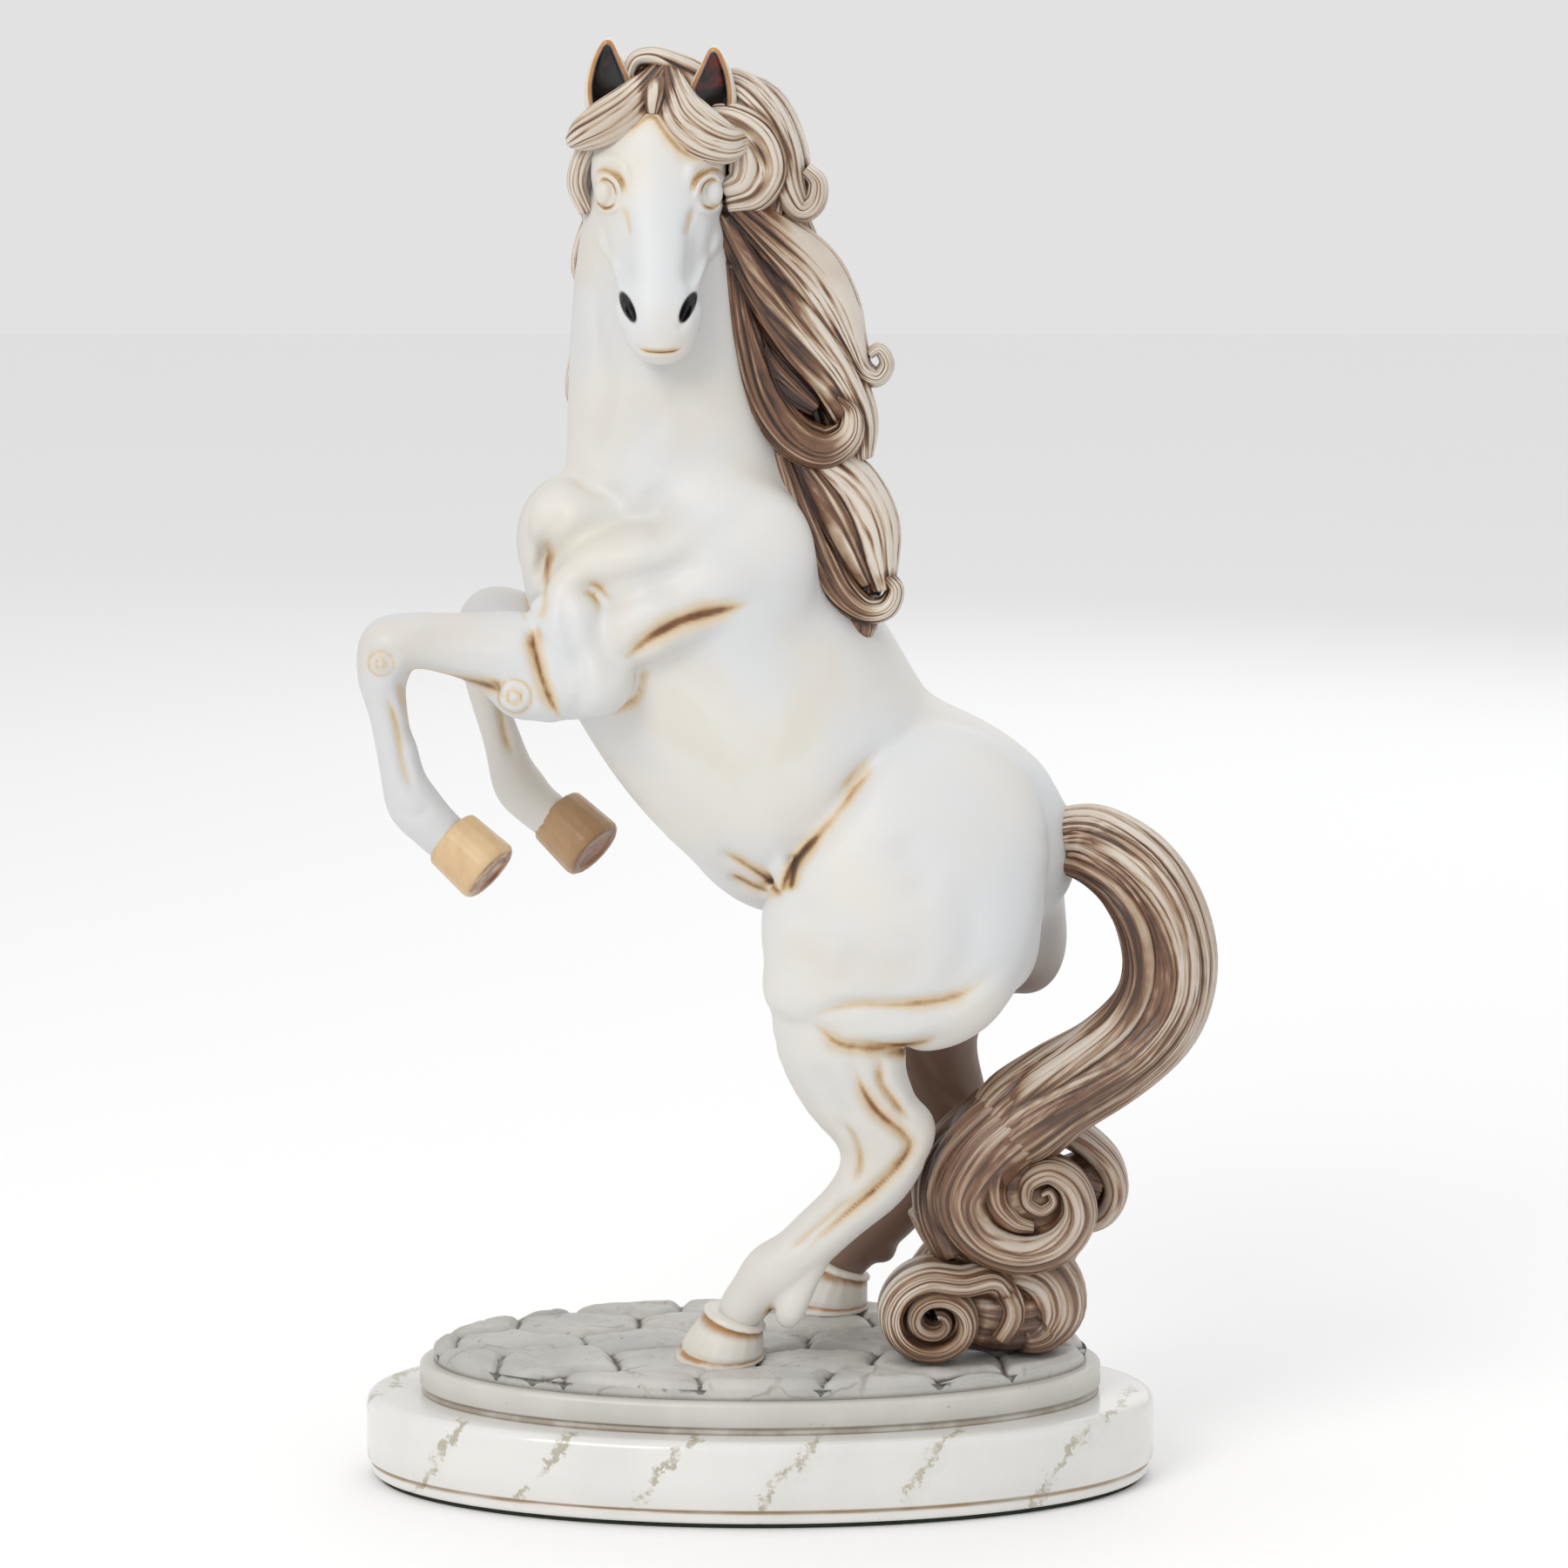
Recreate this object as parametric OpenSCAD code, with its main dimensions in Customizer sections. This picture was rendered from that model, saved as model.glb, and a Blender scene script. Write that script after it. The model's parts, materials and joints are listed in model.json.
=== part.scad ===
// Rearing horse statue on an oval plinth.
// The horse is cast in sections that are pinned together. Threaded studs hold the hind
// hooves and the tail to the plinth, with washers and nuts in recesses under the marble.
// The origin is the centre of the felt's underside. The horse faces -X, +Z is up, and
// the horse's left side faces -Y.

/* [Horse] */
// Height of the horse, from the ground to the ear tips
horse_h = 361; // [345:1:370]
// Sides on the round of a casting's cross-section
sides = 14; // [12:2:18]
// Sections between two neighbouring stations of a casting
steps = 2; // [1:1:3]

/* [Plinth] */
// Length of the marble plinth
plinth_l = 221; // [216:1:235]
// Depth of the marble plinth from front to back
plinth_d = 110; // [108:1:120]
// Height of the marble plinth
marble_h = 23; // [21:0.5:26]
// Height of the oval step on the marble
step_h = 9; // [7:0.5:11]
// Width of the marble left showing around the step
marble_lip = 15; // [13:0.5:16]
// Width of the step left showing around the stones
step_lip = 4; // [3:0.5:5]
// Thickness of the bed under the ground's stones
bed_h = 3.5; // [3:0.5:5]
// Height of the stones above the bed
stone_h = 2; // [1.5:0.25:2.5]
// Width of the gap between two stones
stone_gap = 1.5; // [1:0.25:2.5]
// Thickness of the felt pad
felt_t = 1.5; // [1:0.25:2]

/* [Hardware] */
// Diameter of the threaded studs, dowels and pins
stud_d = 6; // [5:0.5:6]
// Diameter of the washers
washer_d = 14; // [13:0.5:16]
// Thickness of the washers
washer_t = 1.5; // [1:0.25:2]
// Width of the nuts across their corners
nut_d = 11.5; // [11:0.25:12]
// Height of the nuts
nut_t = 4.5; // [4:0.25:5]

/* [Hidden] */

ground_z = felt_t + marble_h + step_h + bed_h + stone_h;
grow = horse_h / 361;
slip = 0.2;
recess_d = washer_d + 3;
recess_h = washer_t + nut_t + 2;
stud_top = 11;
// Where the studs stand, as x and y
left_stud_xy = [-10, -18];
right_stud_xy = [20, 33];
tail_stud_xy = [76, -9];

// Stations of the castings. Each row is a centre x, y and z above the ground, the half
// width in the plane of the path, and the half width across the horse.
barrel_rows = [[-52, 0, 229, 8, 12], [-41, 0, 222, 22, 22], [-24, 2, 206, 36, 30],
    [-5, 4, 184, 40, 34], [10, 5, 162, 37, 34], [27, 6, 149, 33, 32], [53, 7, 142, 30, 31],
    [69, 7, 134, 18, 22]];
neck_rows = [[-12, 2, 196, 34, 27], [-17, 1, 220, 33, 26], [-22, 0, 244, 28, 23],
    [-25, -1, 268, 24, 19], [-26, -2, 290, 21, 16], [-27, -2, 308, 18, 15],
    [-26, -3, 325, 14, 14], [-26, -4, 336, 8, 9]];
left_arm_rows = [[-14, -20, 222, 18, 8], [-38, -22, 218, 17, 14], [-32, -24, 206, 17, 14],
    [-43, -24, 193, 14, 13], [-53, -24, 190, 14, 14]];
right_arm_rows = [[-14, 20, 222, 18, 8], [-38, 22, 218, 17, 14], [-32, 24, 206, 17, 14],
    [-43, 24, 193, 14, 13], [-53, 24, 190, 14, 14]];
left_thigh_rows = [[54, -12, 163, 18, 12], [50, -17, 151, 30, 17], [42, -21, 135, 35, 19],
    [38, -23, 119, 34, 18], [31, -25, 107, 30, 16], [24, -26, 97, 22, 14], [21, -26, 90, 15, 12]];
right_thigh_rows = [[60, 20, 152, 12, 12], [56, 27, 138, 26, 17], [51, 32, 111, 26, 16],
    [43, 33, 94, 18, 13], [44, 33, 84, 13, 11]];
head_rows = [[-27, -9, 343, 10, 9], [-27, -12, 337, 15, 13], [-27, -14, 322, 18, 15],
    [-27, -17, 305, 15, 15], [-27, -22, 293, 10, 11], [-26, -26, 286, 10, 10],
    [-26, -27, 280, 7, 8], [-26, -27, 277, 4, 5]];
left_fore_rows = [[-50, -24, 189, 10, 11], [-57, -24, 191, 12, 12], [-67, -25, 195, 12, 12],
    [-82, -27, 199, 9, 10], [-95, -29, 200, 6.5, 9], [-102, -29, 191, 6.5, 8],
    [-100, -29, 179, 5.5, 6.5], [-98, -29, 168, 6, 7], [-95, -29, 161, 7.5, 8],
    [-90, -29, 154, 6, 7], [-83, -29, 147, 7, 7.5]];
right_fore_rows = [[-49, 24, 187, 10, 10.5], [-59, 24, 189, 12, 12], [-67, 26, 194, 9.5, 11],
    [-76, 28, 193, 5.5, 9], [-78, 28, 183, 5.5, 8], [-74, 28, 170, 6, 6.5],
    [-71, 28, 162, 6.5, 7], [-69, 28, 155, 7.5, 8], [-64, 28, 149, 6, 7],
    [-57, 28, 143, 7, 7.5]];
left_fore_hoof_rows = [[-84, -29, 148, 8, 8], [-74, -29, 139, 9, 9], [-73, -29, 138, 7.5, 7.5]];
right_fore_hoof_rows = [[-58, 28, 144, 8.5, 8.5], [-47, 28, 135, 9, 9], [-46, 28, 134, 7.5, 7.5]];
left_hind_rows = [[20, -26, 98, 15, 12], [21, -26, 90, 17, 13], [26, -25, 77, 15, 11],
    [33, -24, 67, 13, 9.5], [35, -24, 59, 11.5, 8.5], [31, -24, 50, 8.5, 7.5],
    [17, -24, 37, 7, 6.5], [6, -23, 26, 7.5, 7], [0, -22, 21, 8.5, 8], [-6, -20, 12, 8, 8]];
right_hind_rows = [[44, 33, 92, 13, 11], [46, 33, 81, 15, 12], [49, 33, 68, 13.5, 11],
    [53, 33, 53, 11, 9], [52, 33, 46, 10.5, 8.5], [44, 33, 34, 7.5, 7],
    [34, 33, 23, 7, 6.5], [28, 33, 19, 8, 7.5], [22, 33, 12, 7.5, 8]];
left_hind_hoof_rows = [[-7, -19, 11, 9, 9.5], [-12, -18, 0.8, 13, 13], [-12, -18, 0, 12, 12.5]];
right_hind_hoof_rows = [[22, 33, 11, 8.5, 8.5], [18, 33, 0.8, 12, 11], [18, 33, 0, 11, 10.5]];
tail_upper_rows = [[76, 6, 138, 5, 7], [82, 5, 140, 7, 9], [90, 1, 140, 10, 12],
    [101, -4, 136, 12.5, 14], [110, -7, 124, 13, 15], [112, -9, 108, 13, 15],
    [105, -11, 92, 13, 15], [88, -13, 78, 12.5, 15], [72, -14, 68, 14, 15]];
tail_curl_rows = [[72, -14, 68, 14, 15], [61, -14, 54, 15, 17], [61, -15, 40, 13, 16],
    [72, -16, 33, 9, 14], [86, -16, 38, 8, 13], [88, -17, 46, 6, 11]];
tail_curl_core = [80, -16, 46];
// The rolls that lie on the ground: centre x, y and z, radius and half length across
rolls = [[78, -4, 17, 17, 16], [54, -18, 15, 15, 14], [98, 0, 38, 9, 12]];
left_ear_rows = [[-13, -10, 339, 6, 3], [-13, -11, 347, 6, 3.5], [-12, -12, 358, 0.8, 0.8]];
right_ear_rows = [[-38, -10, 339, 6, 3], [-39, -11, 348, 6, 3.5], [-40, -12, 361, 0.8, 0.8]];
forelock_rows = [
    [[-27, -14, 347, 5, 6], [-36, -17, 342, 7, 6], [-45, -17, 334, 7, 5], [-49, -14, 330, 3, 4]],
    [[-27, -15, 346, 5, 6], [-18, -18, 338, 9, 6], [-9, -17, 332, 7, 5], [-5, -14, 329, 3, 4]],
    [[-22, -2, 346, 6, 8], [-29, -3, 354, 6, 8], [-34, -3, 349, 4, 7]]];
mane_crest_rows = [
    [[-24, -2, 344, 6, 8], [-8, -3, 346, 7, 9], [2, -3, 336, 9, 10], [7, -2, 323, 9, 9],
        [13, -2, 318, 5, 8]],
    [[-12, -9, 334, 6, 5], [-3, -10, 330, 9, 6], [1, -9, 322, 7, 6], [-4, -8, 318, 4, 5]]];
mane_long_rows = [
    [[-10, -5, 322, 8, 8], [4, -4, 308, 12, 11], [16, -3, 290, 13, 11], [25, 0, 276, 9, 9],
        [31, 2, 270, 5, 7]],
    [[-8, -6, 306, 8, 8], [4, -5, 286, 13, 10], [15, -5, 268, 15, 11], [20, -6, 252, 12, 10],
        [12, -7, 244, 5, 8]]];
mane_low_rows = [[[4, -5, 258, 6, 8], [13, -6, 246, 10, 10], [23, -6, 234, 12, 11],
    [30, -7, 220, 10, 10], [28, -8, 208, 4, 6], [27, -8, 204, 2, 4]]];
mane_far_rows = [
    [[-24, 8, 338, 10, 4], [-20, 14, 322, 14, 5], [-12, 19, 300, 17, 5], [-4, 23, 276, 15, 5],
        [4, 25, 256, 8, 4]],
    [[-44, 6, 332, 3, 5], [-47, 8, 322, 4, 6], [-44, 12, 312, 5, 6], [-40, 14, 296, 5, 6],
        [-36, 18, 280, 5, 5], [-34, 20, 266, 8, 4], [-38, 20, 256, 4, 4]]];

function unit(v) = v / norm(v);
function place(row) = [row[0], row[1], row[2]];
function spline(a, b, c, d, t) =
    0.5 * (2 * b + (c - a) * t + (2 * a - 5 * b + 4 * c - d) * t * t
        + (3 * b - a - 3 * c + d) * t * t * t);
function refine(rows, cuts) =
    [for (i = [0 : len(rows) - 2], j = [0 : cuts - 1])
        spline(rows[max(0, i - 1)], rows[i], rows[i + 1], rows[min(len(rows) - 1, i + 2)],
            j / cuts),
    rows[len(rows) - 1]];
function heading(rows, i) =
    unit(place(rows[min(len(rows) - 1, i + 1)]) - place(rows[max(0, i - 1)]));
function across(along) = unit([0, 1, 0] - along * (along * [0, 1, 0]));
function section(rows, i) =
    let (along = heading(rows, i), side = across(along), up = cross(along, side))
    [for (j = [0 : sides - 1])
        place(rows[i]) + up * rows[i][3] * cos(360 * j / sides)
            + side * rows[i][4] * sin(360 * j / sides)];

// A closed skin through the elliptical sections of one list of stations
module loft(stations) {
    rows = refine(stations, steps);
    last = len(rows) - 1;
    points = [for (i = [0 : last]) each section(rows, i)];
    skin = [for (i = [0 : last - 1], j = [0 : sides - 1])
        let (k = (j + 1) % sides)
        [i * sides + j, i * sides + k, (i + 1) * sides + k, (i + 1) * sides + j]];
    first_cap = [for (j = [sides - 1 : -1 : 0]) j];
    last_cap = [for (j = [0 : sides - 1]) last * sides + j];
    polyhedron(points, concat(skin, [first_cap, last_cap]));
}

// Joins what it holds into one closed skin
module weld() {
    resize([0, 0, 0]) union() children();
}

// Puts a horse casting on the ground at its size
module stand() {
    translate([0, 0, ground_z]) scale(grow) children();
}

// An elliptical blob at a centre above the ground
module muscle(centre, half) {
    translate(centre) scale(half) sphere(r = 1, $fn = 18);
}

// A round bar between two points
module bar(from, to, d) {
    along = to - from;
    turn = atan2(along[1], along[0]);
    tilt = acos(along[2] / norm(along));
    translate(from) rotate([0, tilt, turn]) cylinder(d = d, h = norm(along), $fn = 24);
}

module oval(length, depth, points = 72) {
    polygon([for (i = [0 : points - 1])
        [length / 2 * cos(360 * i / points), depth / 2 * sin(360 * i / points)]]);
}

module at_studs() {
    for (xy = [left_stud_xy, right_stud_xy, tail_stud_xy]) translate([xy[0], xy[1], 0]) children();
}

module neck_bar(d) {
    bar([-26, 0, 316], [-27, -20, 312], d);
}

module left_fore_bar(d) {
    bar([-42, -24, 188], [-72, -25.5, 196], d);
}

module right_fore_bar(d) {
    bar([-42, 24, 187], [-70, 27, 195], d);
}

module tail_bar(d) {
    bar([62, 7, 134], [92, 1, 140], d);
}

module torso_form() {
    loft(barrel_rows);
    loft(neck_rows);
    loft(left_arm_rows);
    loft(right_arm_rows);
    loft(left_thigh_rows);
    loft(right_thigh_rows);
    muscle([-46, 2, 222], [19, 22, 20]);
    muscle([50, 7, 152], [33, 28, 22]);
}

module head_form() {
    loft(head_rows);
    muscle([-27, -6, 318], [15, 10, 16]);
}

module locks(list) {
    for (rows = list) loft(rows);
}

module felt_pad() {
    color("darkolivegreen") linear_extrude(felt_t) oval(plinth_l - 6, plinth_d - 6);
}

module marble_base() {
    edge = 2;
    color("ivory") difference() {
        union() {
            translate([0, 0, felt_t]) linear_extrude(edge) oval(plinth_l - 3, plinth_d - 3);
            translate([0, 0, felt_t + edge]) linear_extrude(marble_h - 2 * edge)
                oval(plinth_l, plinth_d);
            translate([0, 0, felt_t + marble_h - edge]) linear_extrude(edge)
                oval(plinth_l - 2, plinth_d - 2);
        }
        at_studs() translate([0, 0, -1]) cylinder(d = stud_d + slip, h = marble_h + 5);
        at_studs() translate([0, 0, -1]) cylinder(d = recess_d, h = recess_h + felt_t + 1);
    }
}

module base_step() {
    length = plinth_l - 2 * marble_lip;
    depth = plinth_d - 2 * marble_lip + 14;
    edge = 1.5;
    color("linen") translate([0, 0, felt_t + marble_h]) difference() {
        union() {
            linear_extrude(edge) oval(length - 3, depth - 3);
            translate([0, 0, edge]) linear_extrude(step_h - 2 * edge) oval(length, depth);
            translate([0, 0, step_h - edge]) linear_extrude(edge) oval(length - 2, depth - 2);
        }
        at_studs() translate([0, 0, -1]) cylinder(d = stud_d + slip, h = step_h + 2);
    }
}

// Stones in rows across the oval, each row shifted by half a stone
module stones(length, depth) {
    pitch_x = 30;
    pitch_y = 19;
    intersection() {
        linear_extrude(stone_h) oval(length - 1, depth - 1);
        for (row = [-3 : 3], i = [-4 : 4])
            translate([(i + (row % 2) / 2) * pitch_x, row * pitch_y, 0])
                linear_extrude(stone_h, scale = 0.94) offset(3, $fn = 12)
                    square([pitch_x - stone_gap - 6, pitch_y - stone_gap - 6], center = true);
    }
}

module cobbled_ground() {
    length = plinth_l - 2 * (marble_lip + step_lip);
    depth = plinth_d - 2 * (marble_lip + step_lip) + 16;
    color("gainsboro") translate([0, 0, felt_t + marble_h + step_h]) weld() {
        difference() {
            union() {
                linear_extrude(bed_h) oval(length, depth);
                translate([0, 0, bed_h]) stones(length, depth);
            }
            at_studs() translate([0, 0, -1]) cylinder(d = stud_d + slip, h = 20, $fn = 24);
        }
    }
}

module torso() {
    color("ivory") stand() weld() difference() {
        torso_form();
        neck_bar(stud_d + slip);
        left_fore_bar(stud_d + slip);
        right_fore_bar(stud_d + slip);
        tail_bar(stud_d + slip);
    }
}

module head() {
    color("ivory") stand() weld() difference() {
        head_form();
        torso_form();
        neck_bar(stud_d + slip);
    }
}

module ear(rows) {
    color("darkgoldenrod") stand() weld() difference() {
        loft(rows);
        head_form();
        torso_form();
    }
}

module left_ear() {
    ear(left_ear_rows);
}

module right_ear() {
    ear(right_ear_rows);
}

module forelock() {
    color("tan") stand() weld() difference() {
        locks(forelock_rows);
        head_form();
        torso_form();
        loft(left_ear_rows);
        loft(right_ear_rows);
    }
}

module mane_crest() {
    color("tan") stand() weld() difference() {
        locks(mane_crest_rows);
        locks(forelock_rows);
        head_form();
        torso_form();
        loft(left_ear_rows);
        loft(right_ear_rows);
    }
}

module mane_long() {
    color("wheat") stand() weld() difference() {
        locks(mane_long_rows);
        locks(mane_crest_rows);
        head_form();
        torso_form();
    }
}

module mane_low() {
    color("tan") stand() weld() difference() {
        locks(mane_low_rows);
        locks(mane_long_rows);
        torso_form();
    }
}

module mane_far() {
    color("wheat") stand() weld() difference() {
        locks(mane_far_rows);
        locks(mane_crest_rows);
        locks(mane_long_rows);
        locks(forelock_rows);
        locks(mane_low_rows);
        loft(right_ear_rows);
        head_form();
        torso_form();
    }
}

module left_foreleg() {
    color("ivory") stand() weld() difference() {
        loft(left_fore_rows);
        torso_form();
        loft(left_fore_hoof_rows);
        left_fore_bar(stud_d + slip);
    }
}

module right_foreleg() {
    color("ivory") stand() weld() difference() {
        loft(right_fore_rows);
        torso_form();
        loft(right_fore_hoof_rows);
        right_fore_bar(stud_d + slip);
    }
}

module left_fore_hoof() {
    color("burlywood") stand() loft(left_fore_hoof_rows);
}

module right_fore_hoof() {
    color("peru") stand() loft(right_fore_hoof_rows);
}

module left_hind_leg() {
    color("ivory") stand() weld() difference() {
        loft(left_hind_rows);
        torso_form();
        loft(left_hind_hoof_rows);
    }
}

module right_hind_leg() {
    color("ivory") stand() weld() difference() {
        loft(right_hind_rows);
        torso_form();
        loft(right_hind_hoof_rows);
    }
}

// The bottom of a hind hoof or of the tail is bored for its stud
module stud_bore(xy) {
    translate([xy[0] / grow, xy[1] / grow, -1]) cylinder(d = stud_d + slip, h = stud_top + 2, $fn = 24);
}

module left_hind_hoof() {
    color("ivory") stand() weld() difference() {
        loft(left_hind_hoof_rows);
        stud_bore(left_stud_xy);
    }
}

module right_hind_hoof() {
    color("ivory") stand() weld() difference() {
        loft(right_hind_hoof_rows);
        stud_bore(right_stud_xy);
    }
}

module tail_curl_form() {
    loft(tail_curl_rows);
    translate(tail_curl_core) rotate([90, 0, 0]) cylinder(r = 9, h = 24, center = true, $fn = 20);
}

module rolls_form() {
    for (roll = rolls)
        translate([roll[0], roll[1], roll[2]]) rotate([90, 0, 0])
            scale([1, 1, roll[4] / roll[3]]) sphere(r = roll[3] * 1.12, $fn = 24);
}

module tail_upper() {
    color("tan") stand() weld() difference() {
        loft(tail_upper_rows);
        torso_form();
        tail_curl_form();
        tail_bar(stud_d + slip);
    }
}

module tail_curl() {
    color("wheat") stand() weld() difference() {
        tail_curl_form();
        loft(left_hind_rows);
        loft(right_hind_rows);
    }
}

module tail_rolls() {
    color("tan") stand() weld() difference() {
        intersection() {
            rolls_form();
            translate([0, -60, 0]) cube([140, 120, 60]);
        }
        tail_curl_form();
        loft(left_hind_rows);
        stud_bore(tail_stud_xy);
    }
}

module neck_dowel() {
    color("silver") stand() neck_bar(stud_d);
}

module left_foreleg_pin() {
    color("silver") stand() left_fore_bar(stud_d);
}

module right_foreleg_pin() {
    color("silver") stand() right_fore_bar(stud_d);
}

module tail_pin() {
    color("silver") stand() tail_bar(stud_d);
}

module stud(xy) {
    foot = felt_t + 1;
    color("silver") translate([xy[0], xy[1], foot])
        cylinder(d = stud_d, h = ground_z + stud_top - 1 - foot);
}

module left_leg_stud() {
    stud(left_stud_xy);
}

module right_leg_stud() {
    stud(right_stud_xy);
}

module tail_stud() {
    stud(tail_stud_xy);
}

module stud_washers() {
    color("gainsboro") at_studs() translate([0, 0, felt_t + recess_h - washer_t]) difference() {
        cylinder(d = washer_d, h = washer_t);
        translate([0, 0, -1]) cylinder(d = stud_d + 0.4, h = washer_t + 2);
    }
}

module stud_nuts() {
    color("silver") at_studs() translate([0, 0, felt_t + recess_h - washer_t - nut_t]) difference() {
        cylinder(d = nut_d, h = nut_t, $fn = 6);
        translate([0, 0, -1]) cylinder(d = stud_d, h = nut_t + 2);
    }
}

felt_pad();
marble_base();
base_step();
cobbled_ground();
torso();
head();
left_ear();
right_ear();
forelock();
mane_crest();
mane_long();
mane_low();
mane_far();
left_foreleg();
right_foreleg();
left_fore_hoof();
right_fore_hoof();
left_hind_leg();
right_hind_leg();
left_hind_hoof();
right_hind_hoof();
tail_upper();
tail_curl();
tail_rolls();
neck_dowel();
left_foreleg_pin();
right_foreleg_pin();
tail_pin();
left_leg_stud();
right_leg_stud();
tail_stud();
stud_washers();
stud_nuts();
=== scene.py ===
"""Rearing horse statue: the looks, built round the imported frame."""
import json
import math
import bpy
import numpy as np
import openvdb
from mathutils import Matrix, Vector


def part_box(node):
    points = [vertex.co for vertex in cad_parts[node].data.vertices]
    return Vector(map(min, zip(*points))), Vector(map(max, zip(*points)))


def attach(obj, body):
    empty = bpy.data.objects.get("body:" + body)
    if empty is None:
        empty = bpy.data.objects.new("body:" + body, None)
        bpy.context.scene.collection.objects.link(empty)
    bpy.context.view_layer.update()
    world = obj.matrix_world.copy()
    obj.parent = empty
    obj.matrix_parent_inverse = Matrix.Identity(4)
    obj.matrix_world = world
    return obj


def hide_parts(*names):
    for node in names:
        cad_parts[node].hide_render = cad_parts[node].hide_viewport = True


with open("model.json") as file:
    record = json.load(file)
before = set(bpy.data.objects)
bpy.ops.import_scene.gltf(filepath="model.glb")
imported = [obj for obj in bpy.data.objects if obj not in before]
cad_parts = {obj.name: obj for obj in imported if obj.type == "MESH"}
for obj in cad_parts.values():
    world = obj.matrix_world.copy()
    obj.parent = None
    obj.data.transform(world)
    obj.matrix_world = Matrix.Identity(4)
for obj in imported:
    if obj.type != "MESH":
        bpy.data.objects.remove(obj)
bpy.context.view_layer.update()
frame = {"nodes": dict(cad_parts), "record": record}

MM = 0.001
BODY = "root"
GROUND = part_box("cobbled_ground")[1].z / MM     # height of the stones' tops, in mm
TURN = 2 * math.pi
FAR = 14.0          # the largest distance that the clay keeps, in mm
MARGIN = 13         # how far past a form its distances are worked out, in mm
MAX_HOLLOW = 1.5    # the deepest crease that the patina tells apart
ACROSS = np.array([0, 1.0, 0])      # the direction across the horse
CORNERS = [(dx, dy, dz) for dx in (0,1) for dy in (0,1) for dz in (0,1)]


# ---------------------------------------------------------------- small maths

def spline_rows(rows, cuts):
    """Catmull-Rom rows through the given rows."""
    rows = np.asarray(rows, float)
    padded = np.vstack([rows[:1], rows, rows[-1:]])
    out = []
    for i in range(len(rows) - 1):
        a, b, c, d = padded[i:i + 4]
        for t in np.arange(cuts) / cuts:
            out.append(0.5 * (2 * b + (c - a) * t + (2 * a - 5 * b + 4 * c - d) * t ** 2
                + (3 * b - a - 3 * c + d) * t ** 3))
    out.append(rows[-1])
    return np.array(out)


def unit(v):
    return v / (np.linalg.norm(v) + 1e-12)


def circle(sides):
    """Angles once round, in sides steps."""
    return np.linspace(0, TURN, sides, endpoint=False)


def soft(x, low, high):
    """0 below low, 1 above high, smooth between."""
    t = np.clip((x - low) / (high - low), 0, 1)
    return t * t * (3 - 2 * t)


def value_noise(points, scale, seed=0):
    """Smooth noise from 0 to 1 at points, one cell per scale."""
    q = points / scale + seed * 17.3
    cell = np.floor(q).astype(np.int64)
    f = q - cell
    f = f * f * (3 - 2 * f)
    total = np.zeros(len(points))
    for dx, dy, dz in CORNERS:
        n = ((cell[:, 0] + dx) * 73856093) ^ ((cell[:, 1] + dy) * 19349663) ^ ((cell[:, 2] + dz)
            * 83492791)
        n = (n ^ (n >> 13)) * 1274126177 & 0x7FFFFFFF
        w = (np.abs(1 - dx - f[:, 0]) * np.abs(1 - dy - f[:, 1]) * np.abs(1 - dz - f[:, 2]))
        total += w * (n % 65536) / 65535.0
    return total


def near_line(x, z, points, ends):
    """The squared distance from places to a line in the x-z plane, and 1 along it, fading at its ends."""
    best, fade = 1e9 + 0 * (x + z), 0 * (x + z)
    count = len(points) - 1
    for i, (a, b) in enumerate(zip(points[:-1], points[1:])):
        d = b - a
        t = np.clip(((x - a[0]) * d[0] + (z - a[1]) * d[1]) / (d @ d + 1e-9), 0, 1)
        distance = (x - a[0] - d[0] * t) ** 2 + (z - a[1] - d[1] * t) ** 2
        place = (i + t) / count
        strength = soft(np.minimum(place, 1 - place), 0, 0.3) if ends else 1.0
        fade = np.where(distance < best, strength, fade)
        best = np.minimum(best, distance)
    return best, fade


# ---------------------------------------------------------------- clay: a distance field to sculpt in

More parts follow.
